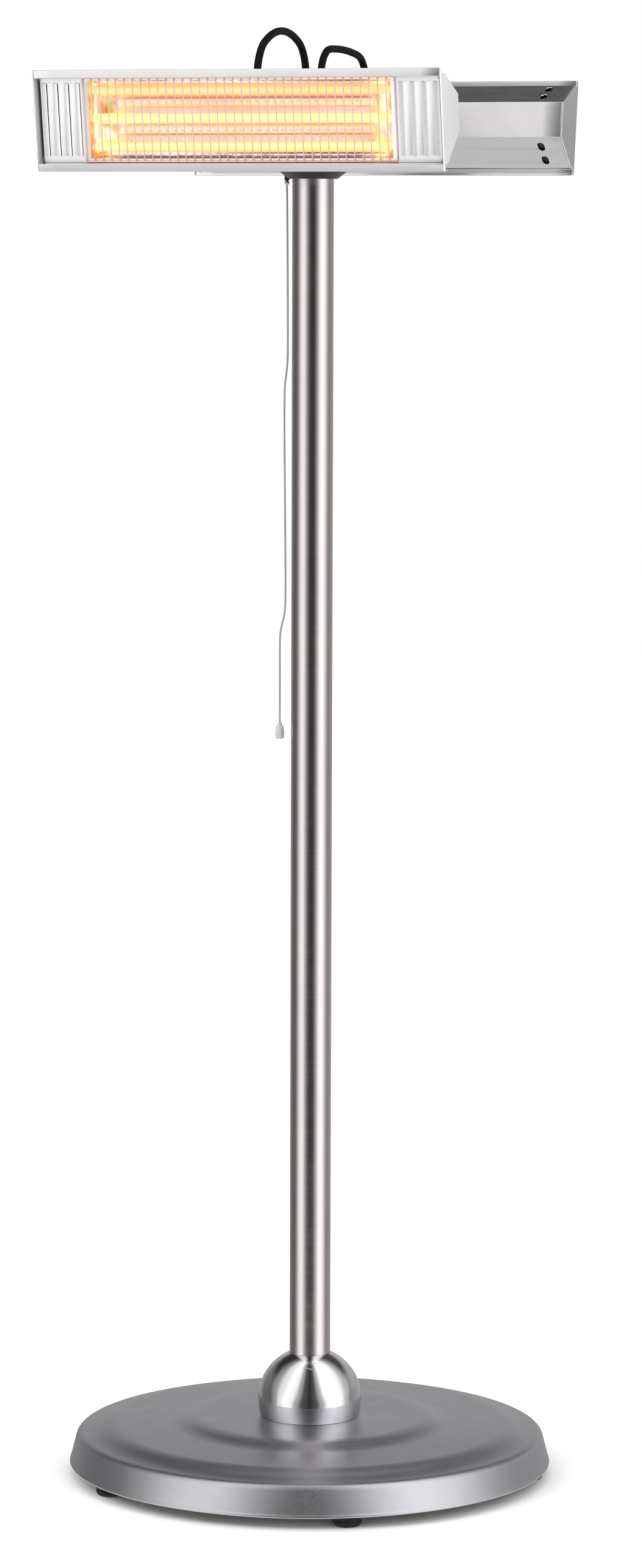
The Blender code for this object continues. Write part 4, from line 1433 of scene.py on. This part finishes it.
@dataclass
class Head(SubAssembly):
    """One heater head: folded shell, caps, louvred panel, guard, burner, yoke."""

    plan: HeadPlan
    width: float = 0.505
    back: float = 0.057         # tilt axis to the back plate
    depth: float = 0.064
    back_half: float = 0.022
    body_half: float = 0.052
    lip_half: float = 0.060
    lip_lean: float = 0.0020    # how far the lips' outer edges lean back
    lip_fold: float = 0.0038    # how far the caps' folded edges reach back from the face
    straight: float = 0.014
    wall: float = 0.0015
    cap: float = 0.002
    panel_recess: float = 0.012
    panel_thick: float = 0.0015
    panel_end_gap: float = 0.004
    window: tuple[float, float] = (0.187, 0.046)
    slot_count: int = 4
    slot_pitch: float = 0.0138
    slot_width: float = 0.005
    slot_half: float = 0.043
    slot_start: float = 0.0125
    guard_wire: float = 0.0008
    guard_pitch: float = 0.0105
    guard_over: float = 0.0055
    tray_depth: float = 0.032
    tray_wall: float = 0.0008
    mouth_over: tuple[float, float] = (0.0025, -0.0027)     # past the window's sides, past the shell's wall
    tray_in: float = 0.045
    tray_edge: float = 0.0185
    flute: float = 0.010
    tube_radius: float = 0.006
    tube_wall: float = 0.0012
    tube_half: float = 0.210
    tube_pitch: float = 0.0335
    tube_depth: float = 0.0215
    coil_radius: float = 0.0028
    coil_wire: float = 0.0004
    coil_pitch: float = 0.0026
    coil_half: float = 0.200
    vent_x: float = 0.222
    vent_depths: tuple[float, float] = (0.0165, 0.0385)
    vent_size: tuple[float, float] = (0.0085, 0.0150)
    # how far inside the shell the painted-shade sheets behind the vents sit
    shield_inset: float = 0.0045
    box_size: tuple[float, float, float] = (0.032, 0.018, 0.032)    # half width, half height, depth
    yoke_plate: float = 0.003
    place: Matrix = field(init=False)
    face: float = field(init=False)     # the shell's front edge, in the head's own Y
    panel: float = field(init=False)    # the panel's front, likewise
    slope: float = field(init=False)    # rise of the shell's slopes per depth

    def __post_init__(self) -> None:
        """Reads the head's place from the frame and works out what follows from its sizes."""
        self.place = self.plan.place()
        self.face = -self.back - self.depth
        self.panel = self.face + self.panel_recess
        self.slope = (self.body_half - self.back_half) / (self.depth - self.straight)

    def name(self, piece: str) -> str:
        """The piece's name on this head."""
        return f"{self.plan.end}_{piece}"

    def put(self, piece_name: str, shape: Shape, finish: Finish, slot: Slot, *nodes: str,
            recalc: bool = True) -> bpy.types.Object:
        """Moves a shape onto the head and fixes it.

        Args:
            piece_name: its name without the head's.
            shape: in the head's own frame.
            finish: its finish.
            slot: the record's slot.
            nodes: CAD nodes it replaces, without the head's name.
            recalc: True for closed islands.

        Returns:
            The piece.
        """
        shape.move(self.place)
        piece = self.add(self.name(piece_name), shape.mesh(self.name(piece_name), recalc), finish)
        return self.fix(piece, self.plan.body, slot, *(self.name(n) for n in nodes))

    def outline(self, inset: float) -> list[tuple[float, float]]:
        """Upper half of the shell's section as (y, z), from the face to the back.

        Args:
            inset: how far inside the outer surface.

        Returns:
            The points.
        """
        lean = sqrt(1 + self.slope ** 2)
        return [(self.face + inset, self.body_half - inset),
                (self.face + self.straight - inset * (lean - 1) / self.slope, self.body_half - inset),
                (-self.back - inset, self.back_half - inset * (lean - self.slope))]

    def shell(self) -> None:
        """Builds the folded shell with its lips and the vents near its ends."""
        half = self.width / 2 - self.cap - GAP
        middle = self.wall / 2
        section = both_halves([(self.face + self.lip_lean + middle, self.lip_half), *self.outline(middle)])
        shape = Shape()
        bm = shape.bm
        verts = [bm.verts.new((-half, y, z)) for y, z in section]
        edges = [bm.edges.new(pair) for pair in zip(verts, verts[1:])]
        push_out(bm, bmesh.ops.extrude_edge_only(bm, edges=edges)["geom"], (2 * half, 0, 0))
        self.open_vents(shape)
        bmesh.ops.recalc_face_normals(bm, faces=bm.faces)
        back_face = max(bm.faces, key=lambda f: f.calc_center_median().y)
        if back_face.normal.y < 0:
            bmesh.ops.reverse_faces(bm, faces=bm.faces)
        piece = self.put("shell", shape, SHELL_STEEL, Slot.HEAD, "housing", recalc=False)
        self.thicken(piece, self.wall, 0)
        self.soften(piece, 0.0009, 3)

    def open_vents(self, shape: Shape) -> None:
        """Opens the vents in both slopes of the shell: slots with slanted corners.

        Args:
            shape: the shell's sheet.
        """
        bm = shape.bm
        wide, tall = self.vent_size[0] / 2, self.vent_size[1] / 2 / sqrt(1 + self.slope ** 2)
        nook = wide * 0.58
        vents = [(side * self.vent_x, -self.back - depth) for side in (-1, 1) for depth in self.vent_depths]
        for index, half, normal in ((0, wide, (1, 0, 0)), (1, tall, (0, 1, 0))):
            middles = {vent[index] for vent in vents}
            shape.cut_along(sorted(m + s * r for m in middles for s in (-1, 1) for r in (half - nook, half)),
                            normal)
        gone = []
        for face in bm.faces[:]:
            c = face.calc_center_median()
            near = [(x, y) for x, y in vents if abs(c.x - x) < wide and abs(c.y - y) < tall]
            if not near or abs(c.z) < self.back_half - self.wall:
                continue
            x, y = near[0]
            if abs(c.x - x) > wide - nook and abs(c.y - y) > tall - nook:
                rim = [v for v in face.verts
                       if (abs(v.co.x - x) > wide - GAP) != (abs(v.co.y - y) > tall - GAP)]
                half = bmesh.utils.face_split(face, *rim)[0]
                face = min(face, half, key=lambda f: (f.calc_center_median().xy - Vector((x, y))).length)
            gone.append(face)
        bmesh.ops.delete(bm, geom=gone, context="FACES")

    def shields(self) -> None:
        """Builds a black sheet inside each end of the shell, behind its vents, as painted shade that keeps
        the view through the vents dark.
        """
        behind = self.panel + self.panel_thick + GAP
        outer, inner = ([(behind, self.body_half - inset), *self.outline(inset)[1:]]
                        for inset in (self.shield_inset, self.shield_inset + 0.0008))
        section = [*both_halves(outer), *both_halves(inner)[::-1]]
        shape = Shape()
        for side in (-1, 1):
            near, far = sorted((side * (self.tube_half - 0.0015), side * (self.width / 2 - 0.006)))
            shape.slab(section, near, far)
        self.put("vent_shields", shape, BLACK_STEEL, Slot.BLACK_STEEL)

    def caps(self) -> None:
        """Builds the two end caps, each with a folded edge round it."""
        behind = self.face + self.lip_fold
        section = both_halves([(self.face, self.lip_half - 0.004), (self.face + self.lip_lean, self.lip_half),
                               (behind, self.lip_half), (behind, self.body_half), *self.outline(0)[1:]])
        for side, low in (("left", -self.width / 2), ("right", self.width / 2 - self.cap)):
            shape = Shape().slab(section, low, low + self.cap, 0.0006)
            self.put(f"{side}_end_cap", shape, self.plan.cap_finish, Slot.HEAD, f"{side}_cap")

    def louvres(self) -> None:
        """Builds the panel with its window and slots, each slot with a pressed blade."""
        half_x = self.width / 2 - self.cap - self.panel_end_gap
        half_z = self.body_half - self.wall - GAP
        y = self.panel + self.panel_thick / 2
        shape = Shape()
        bm = shape.bm
        bm.faces.new([bm.verts.new((sx * half_x, y, sz * half_z))
                      for sx, sz in ((-1, -1), (1, -1), (1, 1), (-1, 1))])
        slots = [s * (self.window[0] + self.slot_start + i * self.slot_pitch)
                 for s in (-1, 1) for i in range(self.slot_count)]
        wide = self.slot_width / 2
        shape.cut_along(sorted([x + s * wide for x in slots for s in (-1, 1)]
                               + [-self.window[0], self.window[0]]), (1, 0, 0))
        shape.cut_along([-self.window[1], -self.slot_half, self.slot_half, self.window[1]], (0, 0, 1))

        def in_window(c: Vector) -> bool:
            """Whether a point is in the window."""
            return abs(c.x) < self.window[0] and abs(c.z) < self.window[1]

        def in_slot(c: Vector) -> bool:
            """Whether a point is in a slot."""
            return abs(c.z) < self.slot_half and any(abs(c.x - x) < wide for x in slots)

        slot_corners = [v for v in bm.verts if any(in_slot(f.calc_center_median()) for f in v.link_faces)]
        shape.drop_faces(lambda c: in_window(c) or in_slot(c))
        round_off(bm, slot_corners, wide * 0.6, 3, "VERTICES")
        for face in bm.faces:
            if face.normal.y > 0:
                face.normal_flip()
        piece = self.put("panel", shape, PANEL_STEEL, Slot.PANEL, "louvre_panel", recalc=False)
        self.thicken(piece, self.panel_thick, 0)
        self.soften(piece, 0.0004, 2)
        blades = Shape()
        for x in slots:
            out = 1 if x > 0 else -1
            front = [(wide + 0.0010, 0.0008), (wide - 0.0002, 0.0018), (-wide * 0.90, 0.0024)]
            back = [(-wide * 0.90, 0.0018), (wide - 0.0004, 0.0012), (wide + 0.0006, 0.0008)]
            section = [(x + out * across, y - ahead) for across, ahead in front + back]
            blades.slab(section, -self.slot_half, self.slot_half, 0.0, Axis.Z)
        self.put("louvre_blades", blades, PANEL_STEEL, Slot.PANEL)

    def guard(self) -> None:
        """Builds the wire guard over the window."""
        edge_wire = self.guard_wire * 1.15
        y = self.panel - GAP - 0.00085
        half_x = self.window[0] + self.guard_over
        half_z = self.body_half - self.wall - GAP - 0.001
        count = round(2 * half_x / self.guard_pitch)
        shape = Shape()
        for i in range(1, count):
            x = -half_x + 2 * half_x * i / count
            shape.rod(self.guard_wire, -half_z + 0.0008, half_z - 0.0008, 8, at=(x, y, 0))
        for s in (-1, 1):
            shape.rod(edge_wire, -half_z, half_z, 12, at=(s * half_x, y, 0), bevel=0.0002)
            shape.rod(edge_wire, -half_x, half_x, 12, Axis.X, (0, y, s * half_z), 0.0002)
        self.put("guard", shape, GUARD_STEEL, Slot.GUARD, "wire_guard")

    def tray_section(self, front: float) -> list[tuple[float, float]]:
        """Section of the fluted reflector as (depth, z), from its upper to its lower edge.

        Args:
            front: half height of its mouth.

        Returns:
            The points.
        """
        inner = front - self.tray_edge
        middle, swing = self.tray_depth - self.flute / 2, self.flute / 2
        steps = 36
        heights = [inner - 2 * inner * i / steps for i in range(steps + 1)]
        flutes = [(middle + swing * cos(2 * pi * z / self.tube_pitch), z) for z in heights]
        return [(0, front), *flutes, (0, -front)]

    def reflector(self) -> None:
        """Builds the fluted reflector with its two sloping ends."""
        y_front = self.panel + self.panel_thick + GAP
        mouth = (self.window[0] + self.mouth_over[0], self.body_half - self.wall + self.mouth_over[1])
        shape = Shape()
        bm = shape.bm
        rows = []
        section = self.tray_section(mouth[1])
        for side in (-1, 1):
            ends = [side * (mouth[0] - self.tray_in * d / self.tray_depth) for d, _ in section]
            rows.append([bm.verts.new((x, y_front + d, z)) for x, (d, z) in zip(ends, section)])
        for row in rows:
            for pair in zip(row, row[1:]):
                bm.edges.new(pair)
        bmesh.ops.bridge_loops(bm, edges=bm.edges[:])
        for row in rows:
            bm.faces.new(row)
        bmesh.ops.recalc_face_normals(bm, faces=bm.faces)
        inner = min(bm.faces, key=lambda f: f.calc_center_median().xz.length)
        if inner.normal.y > 0:
            bmesh.ops.reverse_faces(bm, faces=bm.faces)
        piece = self.put("fluted_reflector", shape, REFLECTOR, Slot.MIRROR, "reflector", recalc=False)
        self.thicken(piece, self.tray_wall, -1)

    def burner(self) -> None:
        """Builds the quartz tubes, and the coil inside each."""
        y = self.face + self.tube_depth
        for i in range(3):
            z = (1 - i) * self.tube_pitch
            inner = self.tube_radius - self.tube_wall
            profile = [(inner, -self.tube_half), (self.tube_radius, -self.tube_half),
                       (self.tube_radius, self.tube_half), (inner, self.tube_half)]
            tube = Shape().turn(profile, 32, axis=Axis.X, at=(0, y, z))
            self.put(f"tube_{i + 1}", tube, TUBES[i], Slot.QUARTZ, f"quartz_tube_{i + 1}")
            coil = coil_mesh(self.coil_radius, self.coil_wire, self.coil_pitch, self.coil_half).copy()
            coil.transform(self.place @ Matrix.Translation((0, y, z)) @ Axis.X.value)
            piece = self.add(self.name(f"coil_{i + 1}"), coil, WIRE)
            self.fix(piece, self.plan.body, Slot.WIRE, self.name(f"heating_coil_{i + 1}"))
        for side in ("left", "right"):
            self.dress(self.name(f"{side}_holder"), CERAMIC)

    def mounting(self) -> None:
        """Builds the yoke, the terminal box with its screws, and the gland."""
        yoke = self.add(self.name("yoke_bracket"), self.copy_of(self.name("yoke")), BLACK_STEEL)
        self.soften(yoke, 0.0005)
        self.fix(yoke, self.plan.body, Slot.BLACK_STEEL, self.name("yoke"))
        (half_x, half_z, deep), lid = self.box_size, 0.0035
        near = -self.back + GAP + self.yoke_plate + GAP
        box = Shape().box((-half_x + 0.0006, near, -half_z + 0.0006),
                          (half_x - 0.0006, near + deep - lid - 0.0004, half_z - 0.0006), 0.002)
        box.box((-half_x, near + deep - lid, -half_z), (half_x, near + deep, half_z), 0.0012)
        self.put("terminal_housing", box, BLACK_PLASTIC, Slot.PLASTIC, "terminal_box")
        screws = Shape()
        seat = near + deep + SCREW_GAP
        for sx, sz in ((-1, -1), (-1, 1), (1, -1), (1, 1)):
            screws.screw(0.0024, (sx * (half_x - 0.005), seat, sz * (half_z - 0.005)), Axis.Y)
        self.put("terminal_screws", screws, ZINC, Slot.ZINC)
        gland = gland_shape(0.0085, 0.014, (0, near + deep / 2, half_z + GAP))
        self.put("inlet_gland", gland, BLACK_PLASTIC, Slot.PLASTIC, "cable_gland")

    def build(self) -> None:
        """Builds the whole head."""
        self.shell()
        self.shields()
        self.caps()
        self.louvres()
        self.guard()
        self.reflector()
        self.burner()
        self.mounting()


@dataclass
class Hinge(SubAssembly):
    """Bolt through the arm's barrel and the star knob that clamps the head."""

    plan: HeadPlan
    bolt_radius: float = 0.004
    head_radius: float = 0.007
    head_thick: float = 0.005
    knob_radius: float = 0.016
    knob_thick: float = 0.018
    lobes: int = 5
    lobe_rise: float = 0.08     # half of how far the lobes stand out, as a share of the radius

    def build(self) -> None:
        """Builds the bolt and the knob."""
        end = self.plan.end
        low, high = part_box(f"{end}_hinge_bolt")
        at = (0, (low.y + high.y) / 2, (low.z + high.z) / 2)
        seat = low.x + self.head_thick
        bolt = Shape().rod(self.head_radius, low.x, seat, 6, Axis.X, at, 0.0005)
        bolt.rod(self.bolt_radius, seat, high.x, 32, Axis.X, at, 0.0004)
        self.make(f"{end}_hex_bolt", bolt, ZINC, Body.STAND, Slot.ZINC, f"{end}_hinge_bolt")
        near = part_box(f"{end}_knob")[0].x
        knob = Shape()
        bm = knob.bm
        rim = bmesh.ops.create_circle(bm, cap_ends=True, segments=100, radius=1.0)["verts"]
        for vert in rim:
            wave = cos(self.lobes * atan2(vert.co.y, vert.co.x)) - 1
            vert.co *= self.knob_radius * (1 + self.lobe_rise * wave) / vert.co.length
        push_out(bm, bmesh.ops.extrude_face_region(bm, geom=bm.faces[:])["geom"], (0, 0, self.knob_thick))
        round_off(bm, [e for e in bm.edges if abs(e.verts[0].co.z - e.verts[1].co.z) < 1e-9], 0.0016, 4)
        top = max(bm.faces, key=lambda f: f.calc_center_median().z * len(f.verts))
        bmesh.ops.inset_region(bm, faces=[top], thickness=0.0042, depth=0.0)
        bmesh.ops.inset_region(bm, faces=[top], thickness=0.0006, depth=-0.0010)
        knob.move(Matrix.Translation((near, at[1], at[2])) @ Axis.X.value)
        self.make(f"{end}_star_knob", knob, BLACK_PLASTIC, self.plan.clamp, Slot.PLASTIC, f"{end}_knob")


@dataclass
class HeadCables(SubAssembly):
    """The two loops of cable from the junction's lid to the heads."""

    radius: float = 0.0045
    sides: int = 20
    front: tuple[Point, ...] = (
        (-0.0280, 0.0374), (-0.0300, 0.0502), (-0.0359, 0.0625), (-0.0452, 0.0726), (-0.0570, 0.0794),
        (-0.0816, 0.0869), (-0.1070, 0.0903), (-0.1327, 0.0895), (-0.1579, 0.0844), (-0.1819, 0.0753),
        (-0.1940, 0.0670), (-0.2029, 0.0552), (-0.2078, 0.0413), (-0.2076, 0.0274),
    )
    rear: tuple[Point, ...] = (
        (0.0280, 0.0376), (0.0307, 0.0507), (0.0382, 0.0627), (0.0497, 0.0710), (0.0634, 0.0746),
        (0.0859, 0.0756), (0.1084, 0.0757), (0.1309, 0.0748), (0.1533, 0.0730), (0.1756, 0.0701),
        (0.1897, 0.0651), (0.2007, 0.0550), (0.2074, 0.0413), (0.2076, 0.0274),
    )

    def build(self) -> None:
        """Builds both cables, each looping from the stand to its head."""
        for plan, points in ((FRONT, self.front), (REAR, self.rear)):
            height = plan.axis().z
            route = smooth_route([(0, y, height + z) for y, z in points], 6)
            name = f"{plan.end}_cable_loop"
            cable = self.add(name, tube_mesh(name, route, self.radius, self.sides), CABLE_RUBBER)
            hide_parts(f"{plan.end}_cable")
            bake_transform(cable)
            LOG.info("%s between %s and %s", name, Body.STAND.value, plan.body.value)


# ---------------------------------------------------------------- studio


@dataclass
class Studio:
    """Pale floor, soft light and the camera."""

    azimuth: float = radians(18.5)      # camera, to the right of straight on
    distance: float = 6.28
    height: float = 1.562
    pitch: float = radians(6.33)
    roll: float = radians(0.16)
    lens: float = 117.39
    sensor: float = 36.0
    shift: float = 0.0061
    floor_radius: float = 30.0
    # brightness round the horizon, by angle from the camera's side; positive is to its right
    bands: tuple[tuple[float, float], ...] = (
        (-180, 0.46), (-150, 0.34), (-125, 0.16), (-98, 0.14), (-84, 0.36), (-70, 1.00), (-57, 1.35),
        (-45, 1.20), (-31, 0.45), (-17, 0.09), (0, 0.035), (14, 0.09), (28, 0.50), (42, 1.30),
        (58, 1.60), (73, 1.25), (88, 0.60), (103, 0.30), (130, 0.36), (155, 0.42), (180, 0.46),
    )
    bright: float = 2.0                 # brightness of the ramp's white
    warmth: float = 0.985               # the walls' green and blue against their red
    narrowing: float = 1.5              # how the bands draw together with height
    overhang: float = 0.50              # how far the camera's side reaches over the top
    lift: float = 0.25                  # how much brighter the far wall's upper part is
    dimming: float = 0.82               # how much darker the far ceiling is
    ground: tuple[float, float] = (0.50, 0.34)  # share of that white below the horizon, and straight down
    daylight: float = 1.12              # brightness that lights matt surfaces

    def camera(self) -> None:
        """Makes the camera at the viewing angle."""
        data = bpy.data.cameras.new("camera")
        data.lens = self.lens
        data.sensor_width = self.sensor
        data.sensor_fit = "AUTO"
        data.shift_x = self.shift
        data.clip_end = 100
        camera = bpy.data.objects.new("camera", data)
        right = Vector((cos(self.azimuth), sin(self.azimuth), 0))
        level = Vector((-sin(self.azimuth), cos(self.azimuth), 0))
        ahead = level * cos(self.pitch) - Vector((0, 0, sin(self.pitch)))
        up = right.cross(ahead)
        across = right * cos(self.roll) + up * sin(self.roll)
        over = -right * sin(self.roll) + up * cos(self.roll)
        turn = Matrix((across, over, -ahead)).transposed().to_4x4()
        camera.matrix_world = Matrix.Translation(-level * self.distance + Vector((0, 0, self.height))) @ turn
        bpy.context.scene.collection.objects.link(camera)
        bpy.context.scene.camera = camera

    def floor(self) -> None:
        """Makes the floor."""
        bm = bmesh.new()
        bmesh.ops.create_circle(bm, cap_ends=True, segments=96, radius=self.floor_radius)
        floor = bpy.data.objects.new("studio_floor", finished(bm, "studio_floor"))
        floor.data.materials.append(FLOOR.material())
        floor.visible_glossy = False
        bpy.context.scene.collection.objects.link(floor)

    def surroundings(self) -> None:
        """Lays the world: white behind the object, and soft bright and dark walls in reflections."""
        world = bpy.data.worlds.new("studio")
        world.use_nodes = True
        bpy.context.scene.world = world
        sky = Nodes(world.node_tree)
        math = sky.math
        turned = sky.add("VectorRotate", rotation_type="Z_AXIS")
        sky.put(turned, Vector=sky.add("TexCoord").outputs["Generated"], Angle=pi / 2 - self.azimuth)
        parts = sky.add("SeparateXYZ")
        sky.put(parts, Vector=turned.outputs[0])
        ahead, across, up = (parts.outputs[name] for name in "XYZ")

        def step(value: bpy.types.NodeSocket, low: float, high: float) -> bpy.types.NodeSocket:
            """Rises smoothly from 0 to 1 between two values."""
            return sky.spread(value, 0.0, 1.0, low, high, "SMOOTHSTEP")

        raised = math("MAXIMUM", up, 0.0)
        sideways = math("MULTIPLY", across, math("ADD", 1.0, math("MULTIPLY", raised, self.narrowing)))
        toward = math("ADD", ahead, math("MULTIPLY", raised, self.overhang))
        share = math("ADD", math("DIVIDE", math("ARCTAN2", sideways, toward), 2 * pi), 0.5)
        tint = Vector((1, self.warmth, self.warmth)) / self.bright
        walls = sky.ramp(share, [(degrees / 360 + 0.5, tuple(light * tint)) for degrees, light in self.bands],
                         "EASE")
        behind, below = step(math("MULTIPLY", ahead, -1.0), 0.1, 0.6), math("MULTIPLY", up, -1.0)
        lift = math("MULTIPLY", math("MULTIPLY", behind, step(up, 0.04, 0.14)), self.lift)
        dim = math("MULTIPLY", math("MULTIPLY", behind, step(up, 0.30, 0.56)), self.dimming)
        light = math("MULTIPLY", math("ADD", 1.0, lift), math("SUBTRACT", 1.0, dim))
        fall = math("MULTIPLY", step(below, 0.40, 0.95), self.ground[0] - self.ground[1])
        grey = sky.add("CombineColor")
        for channel in grey.inputs:
            sky.feed(channel, math("SUBTRACT", self.ground[0], fall))
        mirrored = sky.tree.nodes["Background"]
        sky.put(mirrored, Color=sky.mix(walls, grey.outputs[0], step(below, 0.23, 0.33)),
                Strength=math("MULTIPLY", light, self.bright))
        rays = sky.add("LightPath").outputs
        seen, lit = rays["Is Camera Ray"], rays["Is Diffuse Ray"]
        white = sky.add("Background")
        sky.put(white, Color=(1, 1, 1, 1),
                Strength=math("ADD", 1.0, math("MULTIPLY", lit, self.daylight - 1.0)))
        either = sky.add("MixShader")
        plain = math("MAXIMUM", seen, lit)
        for socket, value in zip(either.inputs, (plain, mirrored.outputs[0], white.outputs[0])):
            sky.feed(socket, value)
        sky.put(sky.tree.nodes["World Output"], Surface=either.outputs[0])

    def lamps(self) -> None:
        """Makes two large soft lights."""
        for name, place, size, power in (("key", (-2.6, -3.2, 3.4), 2.4, 60.0),
                                         ("fill", (3.4, -2.0, 2.6), 2.0, 30.0)):
            data = bpy.data.lights.new(name, "AREA")
            data.shape = "DISK"
            data.size = size
            data.energy = power
            lamp = bpy.data.objects.new(name, data)
            aim = (Vector((0, 0, 1.0)) - Vector(place)).to_track_quat("-Z", "Y")
            lamp.matrix_world = Matrix.Translation(Vector(place)) @ aim.to_matrix().to_4x4()
            lamp.visible_glossy = False
            bpy.context.scene.collection.objects.link(lamp)

    def build(self) -> None:
        """Builds the studio."""
        self.camera()
        self.floor()
        self.surroundings()
        self.lamps()
        bpy.context.scene.view_settings.view_transform = "Standard"


FRONT = HeadPlan("front", Body.FRONT_HEAD, Body.FRONT_CLAMP, 0.0, LIT_CAP_STEEL)
REAR = HeadPlan("rear", Body.REAR_HEAD, Body.REAR_CLAMP, pi, CAP_STEEL)


def main() -> None:
    """Builds the studio and every sub-assembly in order."""
    logging.basicConfig(level=logging.INFO, format="%(relativeCreated)6d ms %(name)s: %(message)s")
    Studio().build()
    PullSwitch().build()
    HeadCables().build()
    Base().build()
    Pole().build()
    Junction().build()
    for plan in (FRONT, REAR):
        Hinge(plan).build()
        Head(plan).build()


if __name__ == "__main__":
    main()
